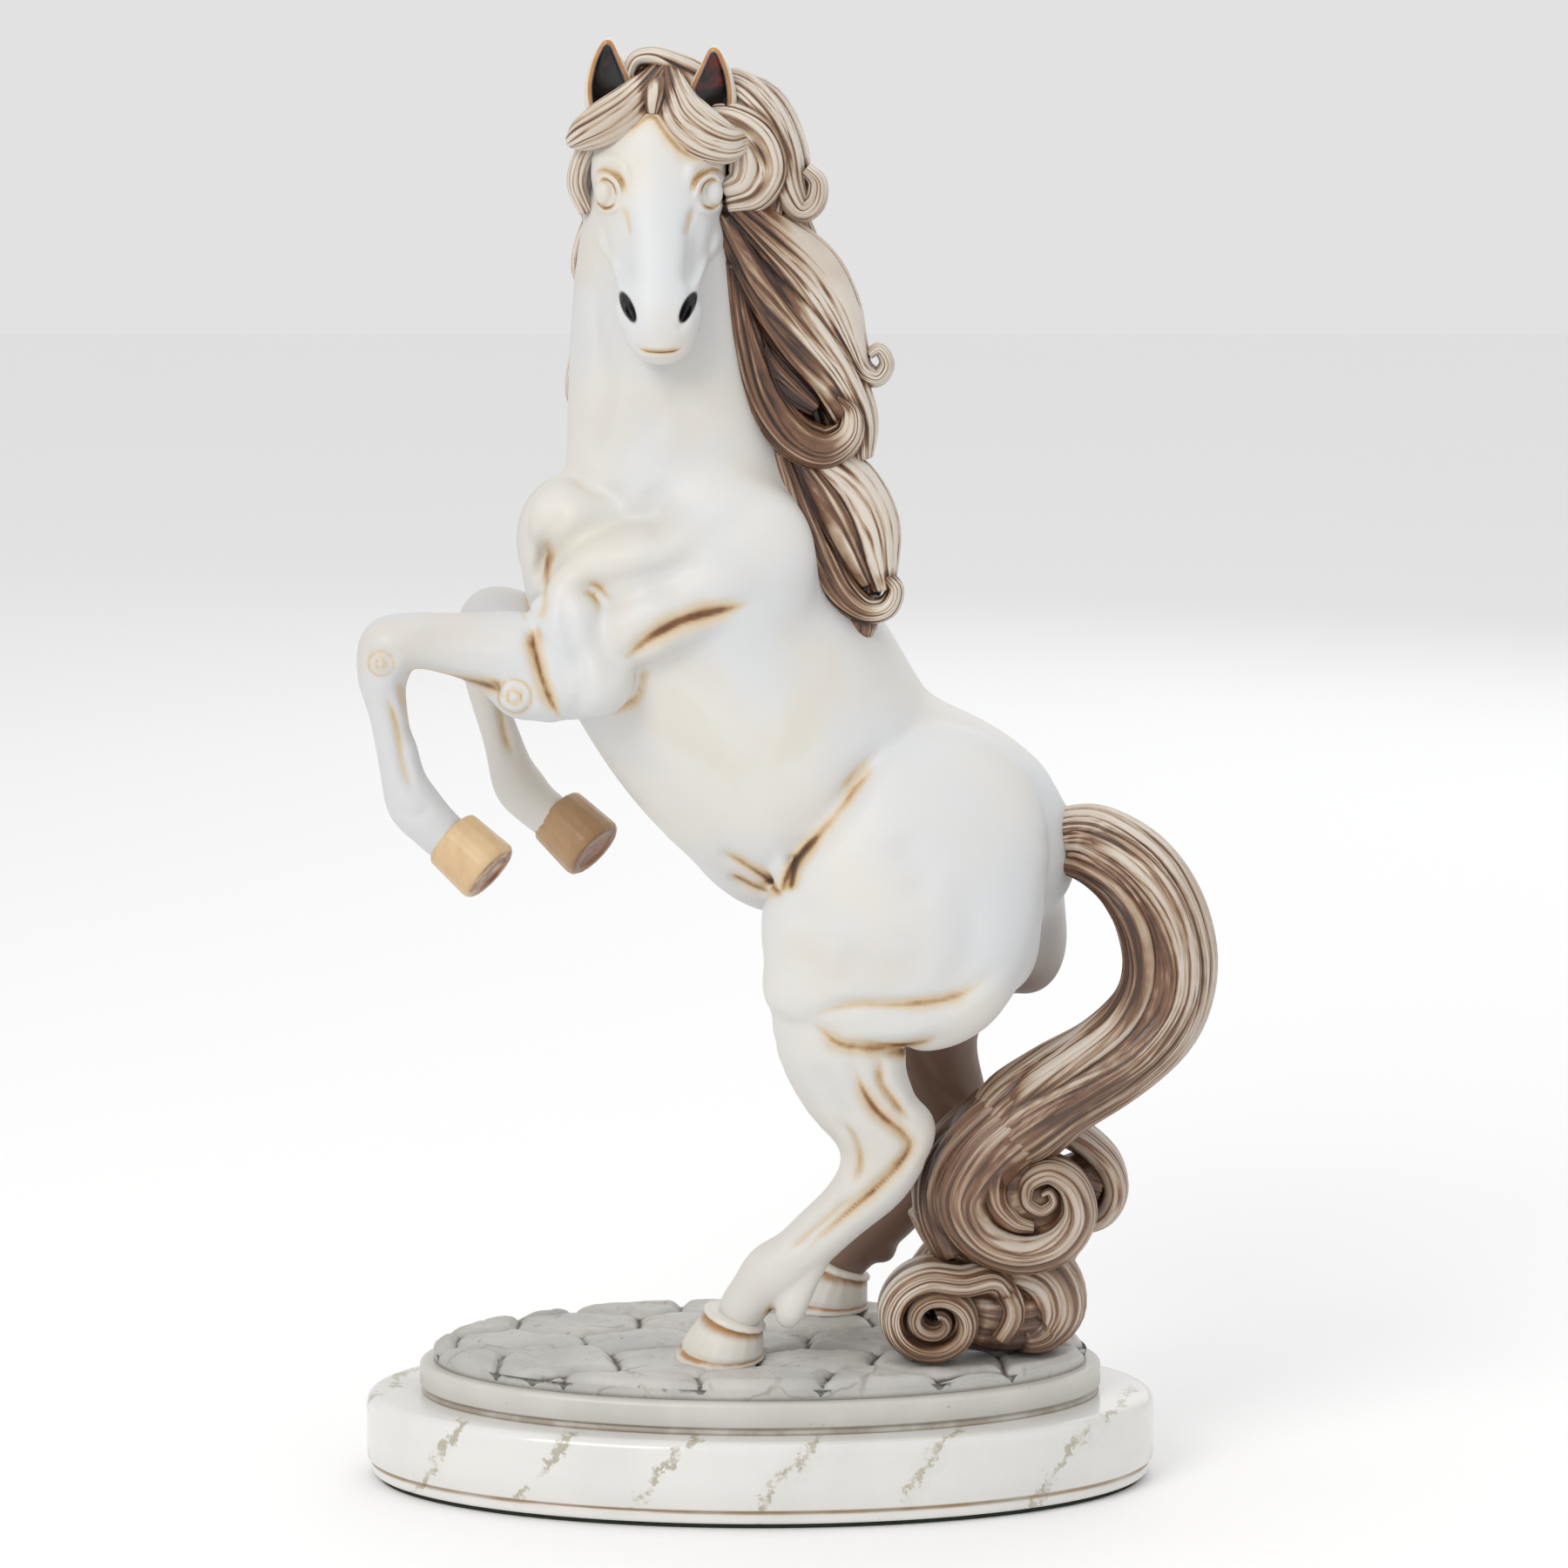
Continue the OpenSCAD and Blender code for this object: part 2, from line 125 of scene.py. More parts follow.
class Clay:
    """A block of distances, in mm above the ground, that forms are blended into."""

    def __init__(self, low, high, step):
        self.step = step
        self.low = np.array(low, float)
        self.shape = tuple(np.ceil((np.array(high) - low) / step).astype(int) + 1)
        self.field = np.full(self.shape, FAR, np.float32)
        self.lines, self.broad = [], 1.0

    def window(self, low, high):
        a = np.maximum(((np.array(low) - self.low) / self.step).astype(int), 0)
        b = np.minimum(((np.array(high) - self.low) / self.step).astype(int) + 2, self.shape)
        if (b <= a).any():
            return None
        where = tuple(slice(p, q) for p, q in zip(a, b))
        axes = [(self.low[k] + self.step * np.arange(a[k], b[k])).astype(np.float32) for k in range(3)]
        return where, (axes[0][:, None, None], axes[1][None, :, None], axes[2][None, None, :])

    def blend(self, where, distance, softness):
        old = self.field[where]
        h = np.clip(0.5 + 0.5 * (old - distance) / softness, 0, 1)
        self.field[where] = old + (distance - old) * h - softness * h * (1 - h)

    def carve(self, where, distance, softness):
        old = self.field[where]
        h = np.clip(0.5 - 0.5 * (old + distance) / softness, 0, 1)
        self.field[where] = old + (-distance - old) * h + softness * h * (1 - h)

    def blob(self, centre, half, softness=6.0, lean=0, cut=False):
        """An ellipsoid, turned about Y by lean degrees."""
        centre, half = np.array(centre, float), np.array(half, float)
        reach = half.max() + softness + MARGIN
        found = self.window(centre - reach, centre + reach)
        if found is None:
            return
        where, (x, y, z) = found
        u, v, w = x - centre[0], y - centre[1], z - centre[2]
        turn = math.radians(lean)
        u, w = u * math.cos(turn) - w * math.sin(turn), u * math.sin(turn) + w * math.cos(turn)
        k0 = np.sqrt((u / half[0]) ** 2 + (v / half[1]) ** 2 + (w / half[2]) ** 2) + 1e-6
        k1 = np.sqrt((u / half[0] ** 2) ** 2 + (v / half[1] ** 2) ** 2 + (w / half[2] ** 2) ** 2) + 1e-6
        distance = k0 * (k0 - 1) / k1
        (self.carve if cut else self.blend)(where, distance, softness)

    def tube(self, rows, softness=5.0, cuts=3, cut=False):
        """An elliptical sweep: rows of x, y, z, half width in the path's plane, half width across."""
        rows = spline_rows(rows, cuts)
        for a, b in zip(rows[:-1], rows[1:]):
            axis = b[:3] - a[:3]
            length = np.linalg.norm(axis)
            if length < 1e-6:
                continue
            along = axis / length
            across = unit(ACROSS - along * (along @ ACROSS))
            up = np.cross(along, across)
            reach = max(a[3:].max(), b[3:].max()) + softness + MARGIN
            found = self.window(np.minimum(a[:3], b[:3]) - reach, np.maximum(a[:3], b[:3]) + reach)
            if found is None:
                continue
            where, (x, y, z) = found
            px, py, pz = x - a[0], y - a[1], z - a[2]
            s = px * along[0] + py * along[1] + pz * along[2]
            t = np.clip(s / length, 0, 1)
            beyond = s - t * length
            u = px * up[0] + py * up[1] + pz * up[2]
            v = px * across[0] + py * across[1] + pz * across[2]
            ru = a[3] + (b[3] - a[3]) * t
            rv = a[4] + (b[4] - a[4]) * t
            rw = np.minimum(ru, rv)
            k0 = np.sqrt((u / ru) ** 2 + (v / rv) ** 2 + (beyond / rw) ** 2) + 1e-6
            k1 = np.sqrt((u / ru ** 2) ** 2 + (v / rv ** 2) ** 2 + (beyond / rw ** 2) ** 2) + 1e-6
            (self.carve if cut else self.blend)(where, k0 * (k0 - 1) / k1, softness)

    def line(self, points, width, depth, low_y=-200.0, high_y=200.0, feather=4.0, ends=True, stain_and_shade=None):
        """Presses a soft groove (or raises a ridge, with a negative depth) along a line drawn in
        the x-z plane, on whatever lies between low_y and high_y. Patina gathers in the deeper ones."""
        points = spline_rows([[p[0], p[1]] for p in points], 4)
        stain_and_shade = float(soft(depth, 0.9, 2.6)) if stain_and_shade is None else stain_and_shade
        width, depth = width * self.broad, min(depth, 0.8 * width * self.broad)
        self.lines.append((points, width, stain_and_shade, low_y, high_y, feather, ends))
        low = [points[:, 0].min() - 3 * width, low_y - feather, points[:, 1].min() - 3 * width]
        high = [points[:, 0].max() + 3 * width, high_y + feather, points[:, 1].max() + 3 * width]
        found = self.window(low, high)
        if found is None:
            return
        where, (x, y, z) = found
        best, fade = near_line(x, z, points, ends)
        span = soft(y, low_y - feather, low_y + feather) * (1 - soft(y, high_y - feather,
            high_y + feather))
        self.field[where] += (np.exp(-best / width ** 2) * fade * depth * span).astype(np.float32)

    def patina_and_shade(self, places):
        """How strongly the drawn lines darken each place, with patina and, where a line is drawn for it,
        painted shade: darkest along a groove's bottom.
        """
        total = np.zeros(len(places))
        for points, width, stain_and_shade, low_y, high_y, feather, ends in self.lines:
            if stain_and_shade <= 0:
                continue
            low, high = points.min(axis=0) - 3 * width, points.max(axis=0) + 3 * width
            close = np.flatnonzero((places[:, 0] > low[0]) & (places[:, 0] < high[0]) & (places[:,
                1] > low_y - feather) & (places[:, 2] > low[1]) & (places[:, 2] < high[1]) & (places[:,
                1] < high_y + feather))
            x, y, z = places[close].T
            best, fade = near_line(x, z, points, ends)
            span = soft(y, low_y - feather, low_y + feather) * (1
                - soft(y, high_y - feather, high_y + feather))
            ink = 0.62 * np.exp(-best / (0.34 * width) ** 2) + 0.4 * np.exp(-best / (1.7 * width) ** 2)
            total[close] = np.maximum(total[close], stain_and_shade * ink * fade * span)
        return total

    def sample(self, points):
        """The distance at points, by trilinear interpolation."""
        q = (points - self.low) / self.step
        q = np.clip(q, 0, np.array(self.shape) - 1.001)
        c = q.astype(int)
        f = (q - c).astype(np.float32)
        total = np.zeros(len(points), np.float32)
        for dx, dy, dz in CORNERS:
            w = np.abs(1 - dx - f[:, 0]) * np.abs(1 - dy - f[:, 1]) * np.abs(1 - dz - f[:, 2])
            total += w * self.field[c[:, 0] + dx, c[:, 1] + dy, c[:, 2] + dz]
        return total

    def skin(self):
        """The zero surface, smoothed: points in mm above the ground, and quads facing outward."""
        grid = openvdb.FloatGrid(FAR)
        grid.copyFromArray(self.field)
        grid.transform = openvdb.createLinearTransform(1.0)
        points, quads = grid.convertToQuads(0.0)
        points, quads = np.asarray(points, float) * self.step + self.low, np.asarray(quads)
        a, b, c = (points[quads[:, k]] for k in range(3))
        if np.einsum("ij,ij->i", a, np.cross(b, c)).sum() <= 0:
            quads = quads[:, ::-1]
        return smooth_points(points, quads), quads


def smooth_points(points, faces):
    """Two rounds of smoothing without shrink, to take the voxel steps out."""
    edges = np.vstack([faces[:, [k, (k + 1) % faces.shape[1]]] for k in range(faces.shape[1])])
    edges = np.unique(np.sort(edges, axis=1), axis=0)
    count = np.bincount(edges.ravel(), minlength=len(points)).astype(float)[:, None]
    count[count == 0] = 1
    for factor in (0.5, -0.52) * 2:
        total = np.zeros_like(points)
        for k in range(3):
            total[:, k] = (np.bincount(edges[:, 0], points[edges[:, 1], k], len(points))
                + np.bincount(edges[:, 1], points[edges[:, 0], k], len(points)))
        points = points + factor * (total / count - points)
    return points


def normals_of(points, faces):
    """Unit normals at the points."""
    a = points[faces[:, 2]] - points[faces[:, 0]]
    b = points[faces[:, -1]] - points[faces[:, 1]]
    n = np.cross(a, b)
    out = np.zeros_like(points)
    for k in range(3):
        for corner in range(faces.shape[1]):
            out[:, k] += np.bincount(faces[:, corner], n[:, k], len(points))
    return out / (np.linalg.norm(out, axis=1)[:, None] + 1e-12)


def hollow_of(clay, points, normals):
    """How far each point lies in a crease, from 0 in the open to about 1."""
    slope = np.clip(clay.sample(points + normals * 0.9) / 0.9, 0.4, 1.3)
    total = clay.patina_and_shade(points)
    for reach, weight in ((1.6,0.7), (3.2,0.75), (6.0,0.35)):
        free = clay.sample(points + normals * reach) / slope
        total += weight * np.clip(0.86 - free / reach, 0, 1)
    return np.clip(total, 0, MAX_HOLLOW)


# ---------------------------------------------------------------- meshes

def show(name, data):
    """A new object in the scene."""
    thing = bpy.data.objects.new(name, data)
    bpy.context.scene.collection.objects.link(thing)
    return thing


def aim(thing, place, back):
    """Puts a lamp or a camera at a place, with its back toward the vector given."""
    thing.location = place
    thing.rotation_mode = "QUATERNION"
    thing.rotation_quaternion = back.to_track_quat("Z", "Y")


def loft_faces(rings, sides):
    """Quads between rings of points, then fans to the first and last ring's centres, which follow."""
    faces = [(i * sides + j, i * sides + (j + 1) % sides, (i + 1) * sides + (j + 1) % sides,
        (i + 1) * sides + j) for i in range(rings - 1) for j in range(sides)]
    first, end = rings * sides, (rings - 1) * sides
    faces += [(j, first, (j + 1) % sides) for j in range(sides)]
    return faces + [(end + j, end + (j + 1) % sides, first + 1) for j in range(sides)]


def half_size(low, high):
    """Half a CAD box's width and depth, in mm."""
    return (high.x - low.x) / 2 / MM, (high.y - low.y) / 2 / MM


def finish_piece(name, points_mm, faces, nodes, material, attributes=None):
    """A mesh object from points in mm above the ground, riding on the body for its CAD nodes."""
    mesh = bpy.data.meshes.new(name)
    points = np.asarray(points_mm, float) + [0, 0, GROUND]
    mesh.from_pydata((points * MM).tolist(), [], [list(map(int, f)) for f in faces])
    mesh.update()
    for key, values in (attributes or {}).items():
        values = np.asarray(values, np.float32)
        kind, field = ("FLOAT", "value") if values.ndim == 1 else ("FLOAT_VECTOR", "vector")
        mesh.attributes.new(key, kind, "POINT").data.foreach_set(field, values.ravel())
    mesh.polygons.foreach_set("use_smooth", [True] * len(mesh.polygons))
    mesh.materials.append(material)
    piece = show(name, mesh)
    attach(piece, BODY)
    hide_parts(*nodes)
    return piece


# ---------------------------------------------------------------- the horse's body

def add_limb_forms(clay):
    """Forearms, knees, cannons and pasterns, then gaskins, hocks, cannons and pasterns."""
    clay.tube([[-48,-25,191,11,11], [-57,-25,194,13,12], [-68,-26,197,11.5,11], [-82,-27,199.5,8.6,9],
        [-95,-29,201,7,8.5], [-101,-29,194,6.5,8], [-99.5,-29,182,5,6], [-97.5,-29,171,4.9,6],
        [-95.5,-29,162,5.4,6.6], [-93,-29,156.5,6.4,7.2], [-88.5,-29,151.5,5.8,6.6],
        [-84,-28.5,147,5.4,5.6], [-80,-29,143.5,3,3]], 2)
    clay.blob([-99.5,-29,200], [7.5,9,7.5], 4)
    clay.blob([-64,-30,186], [6,6,5], 6)
    clay.tube([[-48,25,188,11,11], [-58,25,192,12,12], [-66,26,197,9.5,10.5], [-74,28,200,7.5,9],
        [-78,28,192,6,8], [-76.5,28,179,4.6,6], [-72.5,28,166,4.7,6], [-69.5,28,156,5.6,6.8],
        [-67,28,151.5,6.2,7], [-63,28,147,5.6,6.4], [-58,28,143,5.4,5.6], [-54,27,140,3,3]], 2)
    clay.blob([-75.5,28,199], [7.5,8.5,8], 4)
    clay.tube([[23,-24,98,19,12], [22,-24.6,90,16.6,10.8], [26,-24.6,78,13.8,10],
        [31.6,-24.5,69,11.4,9.2], [34.5,-24,61,11,8.3], [31.5,-24,52,8.8,7.2], [25,-24,44.5,7,6.3],
        [16.5,-24,36.5,6.6,6], [9.5,-23.5,29.5,6.4,6.2], [3.5,-22.5,24.5,7.4,6.8],
        [-1.8,-21,18.6,5.4,5.6], [-5.4,-19.8,13.4,5.4,5.8]], 3)
    clay.blob([43,-24,66], [4.6,5.6,5.6], 5)
    clay.tube([[15.5,-25,29,3,3], [12,-26,22.5,3.2,3], [8.6,-27,16,3.7,3.6], [7.8,-27,13.5,2.6,2.6]], 1.6)
    clay.tube([[44,33,96,18,14], [45,33,84,15,12.5], [48,33,71,13,11], [52,33,60,11.5,9.4],
        [53,33,50,10.5,8.4], [46,33,37,7.2,6.6], [37,33,27,6.6,6.2], [30,33,21.5,6.6,6.4],
        [24,33,13.6,5.4,5.6]], 3)
    clay.blob([60,33,57], [4.6,5.4,5.4], 5)
    clay.blob([35,33,17.5], [3.8,4,4.2], 2)


def add_trunk_forms(clay):
    clay.tube([[-50,1,229,10,14], [-41,1,222,22,23], [-24,2,206,35,29], [-5,4,184,40,33.5],
        [10,5,164,37.5,33.5], [26,6,151,33,31], [46,7,146,29,30], [62,7,140,22,26], [72,7,134,12,18]], 6,
        cuts=4)
    clay.tube([[-10,3,198,34,27], [-17,1.5,220,33,26], [-22,0,244,28,22], [-25,-1,268,24.5,18.5],
        [-26.5,-2,290,21.5,16], [-27,-2,308,18.5,15], [-26.5,-2,325,14.5,14], [-26,-2,337,9,10]], 6,
        cuts=4)
    for centre, half, softness, lean in (
            # chest: near and far breast muscles with the breastbone's furrow between them
            ([-47,-14,230], [16,13,13], 3.4, 25), ([-54,14,224], [13,15,17], 5, 0),
            ([-52,-8,214], [10,14,14], 6, 0),
            # near shoulder, triceps and elbow
            ([-30,-25,222], [24,13,12], 3.5, -8), ([-27,-29,208], [24,11,10.5], 2.6, -26),
            ([-50,-27,205], [12,12,17], 2.8, -12), ([-44,-30,192], [10.5,10,11], 2.4, -15),
            ([-55.5,-27,190], [8.5,10.5,11], 3, 0), ([-6,-22,222], [20,12,22], 10, 30),
            # far shoulder, triceps and elbow
            ([-30,27,220], [24,13,12], 6, -8), ([-27,31,206], [24,9,10.5], 4, -26),
            ([-50,27,203], [12,12,17], 4, -12), ([-45,29,190], [11,9,11], 4, -15),
            ([-4,26,222], [20,12,22], 10, 30)):
        clay.blob(centre, half, softness, lean)
    # near thigh, buttock and gaskin muscles
    clay.tube([[54,-12,163,18,12], [50,-17,151,30,17], [41.5,-21,135,36,19.5], [36.5,-23,119,35.5,19],
        [33.5,-24.5,109,32,17], [32,-26,102,26,12]], 3, cuts=4)
    clay.blob([61,-10,124], [15,17,24], 6, lean=-18)
    clay.blob([14,-27,104], [13,11,10], 5, lean=20)
    clay.blob([38,-29,97.6], [19,11,6], 2.4, lean=-8)
    # far thigh and buttock
    clay.tube([[60,20,153,20,14], [58,25,140,26,17], [54,29,121,27,17], [50,31,105,23,16],
        [46,32,94,18,14], [45,33,84,14,12]], 5, cuts=4)
    clay.blob([70,20,118], [15,16,24], 6, lean=-18)
    # croup, sheath and the dock of the tail
    clay.blob([57,7,152], [24,24,18], 8, lean=30)
    clay.tube([[-8,0,138,7,7], [2,0,133,8,8], [10,-2,134,6,7]], 5)
    clay.tube([[70,7,141,10,10], [80,6,143,6,7]], 5)


def add_trunk_lines(clay):
    near, far = dict(high_y=-4), dict(low_y=8)
    # upper arm against forearm and chest, elbow and shoulder
    for side in (near, far):
        clay.line([(-61,207), (-60,200), (-57,189), (-52,178)], 1.7, 2.2, **side)
        clay.line([(-44,228), (-43,212), (-40,198), (-36,192)], 2.6, 1.2, **side)
        clay.line([(10,245), (-6,234), (-18,225), (-28,216)], 4, 1.1, **side)
    elbow = [(1,213), (-12,210), (-21,208), (-31,202)]
    clay.line(elbow + [(-37.5,195.5)], 2.2, 3, high_y=-12, stain_and_shade=1.0)
    clay.line(elbow + [(-38,193), (-42,188), (-48,183)], 2.2, 3.4, low_y=14)
    clay.line([(-60,210), (-58,220), (-49,229), (-38,233)], 2.6, 2, stain_and_shade=0.14, **near)
    clay.line([(-54,240), (-57.6,224), (-57.6,212), (-62,206)], 2.2, 2, high_y=0, stain_and_shade=0.22)
    clay.line([(-53,221), (-51,206), (-47,192), (-50,180)], 1.6, 1.3, **near)
    clay.line([(-33,224), (-22,215), (-10,212)], 3, 1.0, **near)
    clay.line([(-57,212.5), (-42,217), (-25,221), (-13,226)], 2.6, 1.9, stain_and_shade=0.1, **near)
    clay.line([(-50,236), (-38,233), (-24,236)], 3, 1.2, stain_and_shade=0.05, **near)
    clay.line([(-28,228), (-26,236), (-30,243)], 3, 1.1, stain_and_shade=0.0, **near)
    # neck: the windpipe, the jugular groove and the crest muscle
    for side, jugular, crest in ((near, 1.8, 1.3), (far, 1.6, 1.2)):
        clay.line([(-44,300), (-40,288), (-36,270), (-41,252), (-50,243)], 3.4, jugular, stain_and_shade=0.1,
            **side)
        clay.line([(-12,304), (-19,278), (-30,257), (-46,246)], 5, crest, **side)
    clay.line([(-47,296), (-45,275), (-47,255)], 2.4, -0.9, **near)
    clay.line([(-31,278), (-24,262), (-28,248)], 3, -0.8, **near)
    clay.line([(-52,244), (-44,240), (-34,240)], 2.6, 1.3, **near)
    # flank fold, stifle and thigh: points, width, depth and stain
    for side, shift in ((near, 0), (far, 6)):
        for points, width, depth, stain_and_shade in (([(36,177), (28,165), (21,155), (14,147), (8,140), (3,130)],
                2.6, 2.6, 0.42), ([(20,153), (12,144), (8,138), (5,131)], 1.6, 0.6, 0.8),
                ([(30,172), (21,160), (12,152), (2 - shift, 146)], 5, 1.2, None),
                ([(10,99), (24,103.5), (38,104), (54,106), (67,115)], 2.0, 2.0, 0.62),
                ([(11,101), (17,96), (22,92), (30,90.6), (38,90.4), (45,92.4), (50,97)], 2.0, 2.4, 0.8),
                ([(52,139), (57,125), (54,112), (44,104)], 4, 1.5, 0.05),
                ([(20,118), (34,114), (48,117)], 4, 1.3, 0.0),
                ([(36,150), (43,140), (42,130)], 4, 1.3, 0.0),
                ([(12,134), (15,122), (11,112)], 3.6, 1.0, None)):
            clay.line([(x + shift, z) for x, z in points], width, depth, stain_and_shade=stain_and_shade, **side)
    clay.line([(-12,143.5), (-3.4,138), (3.4,133.5), (7,132)], 1.6, 1.6, stain_and_shade=0.8, **near)
    clay.line([(-9,135.4), (-2.5,131.6), (3.4,129.9)], 1.5, 1.4, stain_and_shade=0.8, **near)
    clay.line([(10.4,143), (9.2,138), (8.4,133)], 1.5, 1.4, stain_and_shade=0.7, **near)


def add_limb_lines(clay):
    tendon = [(25,95), (27,82), (32,73), (39.5,66), (40.5,61), (32,51), (17,37.5), (8,28)]
    far_tendon = [(x + 18, z - 5) for x, z in tendon]
    for points, width, depth, high_y, stain_and_shade in (
            (tendon, 1.7, 2.6, -20, 0.9),
            ([(20,71), (25,66), (27,58), (24,49)], 1.4, 1.4, -20, 0.35),
            ([(33,90), (33,82), (37,75), (42.5,68)], 1.4, 1.4, -20, 0.6),
            ([(28,51), (16,40), (6,31)], 1.3, 1.1, -20, 0.4),
            ([(15,87), (20,76), (26,69)], 2.6, 0.9, -20, None),
            ([(-97,194), (-86,192), (-74,190), (-66,187)], 1.7, 1.6, -22, 0.75),
            ([(-92,206), (-84,203), (-72,203), (-64,205)], 2.2, 0.7, -22, None),
            ([(-106,201), (-101,197), (-96,200)], 1.1, 0.8, -24, None),
            ([(-98,158), (-92,155), (-88,158)], 1.2, 0.7, -20, None)):
        clay.line(points, width, depth, high_y=high_y, stain_and_shade=stain_and_shade)
    clay.line(far_tendon, 1.5, 1.6, low_y=30)
    clay.line(far_tendon, 1.4, 1.3, low_y=18, high_y=26)
    clay.line(tendon, 1.4, 1.3, low_y=-22, high_y=-10)
    for shift, low_y, high_y in ((0,-60,-26), (24,30,60), (0,-24,-10), (24,14,26)):
        for points, width, depth, stain_and_shade in (
                ([(-101,190), (-97.5,180), (-95.5,168), (-92.5,160)], 1.3, 1.3, 0.5),
                ([(-97,194), (-95,184), (-93.5,172)], 1.2, 0.9, 0.3)):
            clay.line([(x + shift, z) for x, z in points], width, depth, low_y, high_y, stain_and_shade=stain_and_shade)


def ring(clay, centre_x, centre_z, radius, width, depth, stain_and_shade):
    """A round groove in the near foreleg's face."""
    clay.line([(centre_x + radius * math.cos(t), centre_z + radius * math.sin(t))
        for t in np.linspace(0, TURN, 13)], width, depth, high_y=-28, ends=False, stain_and_shade=stain_and_shade)


def add_callouses(clay):
    """The chestnuts on the near foreleg: a rosette above, a small ring by the knee."""
    for x, y, z, size in ((-65.5,-36.2,187.5,4.4), (-101,-37,196.5,3.2)):
        clay.blob([x, y, z], [size, 2.6, size], 1)
        ring(clay, x, z, 0.42 * size, 0.9, 0.9, 0.5)
        ring(clay, x, z, 1.05 * size, 0.8, 0.3, 0.42)


def cast_body(material):
    """Sculpts the body in one clay, then splits the skin into its castings along flat cuts."""
    coarse = 0.85
    clay = Clay((-116,-50,4), (98,60,348), coarse)
    clay.broad = 1.25
    add_trunk_forms(clay)
    add_limb_forms(clay)
    add_trunk_lines(clay)
    add_limb_lines(clay)
    add_callouses(clay)
    points, quads = clay.skin()
    normals = normals_of(points, quads)
    hollow = hollow_of(clay, points, normals)
    middle = points[quads].mean(axis=1)
    x, y, z = middle.T
    fore = (x < -58) & (z < 212) & (x * 0.9 + z * 0.1 < -37)
    hind = z < 84
    part = np.zeros(len(quads), int)
    part[fore & (y < 0)] = 1
    part[fore & (y >= 0)] = 2
    part[hind & (y < 4) & (x > -30)] = 3
    part[hind & (y >= 4) & (x > -30)] = 4
    names = ("torso", "left_foreleg", "right_foreleg", "left_hind_leg", "right_hind_leg")
    # painted shade: the far legs' faces that turn toward the near side, strong on the far hind leg below the
    # thigh, slight on the far foreleg
    far_side = soft(points[:, 1], 2, 10) * soft(-normals[:, 1], -0.7, 0.1)
    low_leg = (1 - soft(points[:, 2], 92, 118)) * (points[:, 0] > 0) + 0.12 * (1
        - soft(points[:, 0], -66, -44))
    # painted shade: the lower legs, the forelegs and the top of the neck a little darker
    painted_limb_shade = 0.07 * np.maximum(1 - soft(points[:, 2], 70, 105), 1 - soft(points[:, 0], -78, -56))
    painted_limb_shade = np.maximum(painted_limb_shade, 0.06 * soft(points[:, 2], 240, 262))
    shade = painted_limb_shade + np.clip(far_side * low_leg * (0.75 + 0.5 * value_noise(points, 9, 3)), 0, 0.88)
    for k, name in enumerate(names):
        faces = quads[part == k]
        if len(faces) == 0:
            continue
        used, inverse = np.unique(faces, return_inverse=True)
        faces = inverse.reshape(faces.shape)
        own = points[used]
        extra_points, extra_faces = cap_loops(own, faces)
        all_points = np.vstack([own, extra_points]) if len(extra_points) else own
        fill = np.zeros(len(extra_points))
        piece = finish_piece(name + "_casting", all_points, list(faces) + extra_faces,
            [name], material, {"hollow": np.concatenate([hollow[used], fill]),
            "shade": np.concatenate([shade[used], fill])})
        edges = np.empty(len(piece.data.edges) * 2, int)
        piece.data.edges.foreach_get("vertices", edges)
        on_cut = np.zeros(len(all_points), bool)
        on_cut[[v for face in extra_faces for v in face[:2]]] = True
        sharp = on_cut[edges.reshape(-1,2)].all(axis=1)
        piece.data.attributes.new("sharp_edge", "BOOLEAN", "EDGE").data.foreach_set("value", sharp)


def cap_loops(points, faces):
    """A centre point and a fan of triangles for each open edge loop, so that a casting is closed."""
    count = {}
    for face in faces:
        for a, b in zip(face, np.roll(face, -1)):
            count[(int(a), int(b))] = 1
    open_edges = [(b, a) for (a, b) in count if (b, a) not in count]
    after = dict(open_edges)
    centres, fans = [], []
    while after:
        start, here = next(iter(after.items()))
        loop = [start]
        del after[start]
        while here != start and here in after:
            loop.append(here)
            here = after.pop(here)
        centre = len(points) + len(centres)
        centres.append(points[loop].mean(axis=0))
        fans += [(loop[i], loop[(i + 1) % len(loop)], centre) for i in range(len(loop))]
    return np.array(centres).reshape(-1,3), fans


# ---------------------------------------------------------------- the head

FACE_X = -26.7      # the x of the face's middle line


def add_head_forms(clay):
    clay.tube([[-27,-4,343,10,10], [-27,-8,335,15,13.5], [-27,-10,323,16.5,14.5], [-26.7,-15,311,13,13.2],
        [-26.5,-21,300,9.8,10.8], [-26.3,-26.5,291,9.2,9.5], [-26,-29,285.5,8.6,8.2],
        [-26,-29.5,283.5,6,5.6]], 3, cuts=4)
    clay.tube([[-26.6,-14,336,9,3.4], [-26.5,-20.8,323,7.6,3.4], [-26.5,-26.2,309,6.8,3.2],
        [-26.4,-31.2,297,6.2,3.2], [-26.3,-34,290,6,3]], 2.4, cuts=4)
    for side in (-1,1):
        clay.blob([FACE_X + side * 11.5, -5, 308], [7.2,11,13], 3)
        clay.blob([FACE_X + side * 10.5, -11, 326], [6.5,8,6], 3)
        clay.blob([FACE_X + side * 8.4, -26, 291.4], [3.5,6.4,6], 1.8)
        # eye: a ball in a socket under a brow
        clay.blob([FACE_X + side * 15.2, -22.4, 320.8], [3.5,3.6,4.4], 1.8, cut=True)
        clay.blob([FACE_X + side * 13.8, -17.4, 320.8], [3.3,3.4,4.2], 0.5)
    # flat bridge of the nose, and the lips
    clay.blob([-26.3,-34,286.4], [6.6,4,5], 3)
    clay.blob([-26.2,-32.5,280.6], [5.4,5,2.8], 1.4)


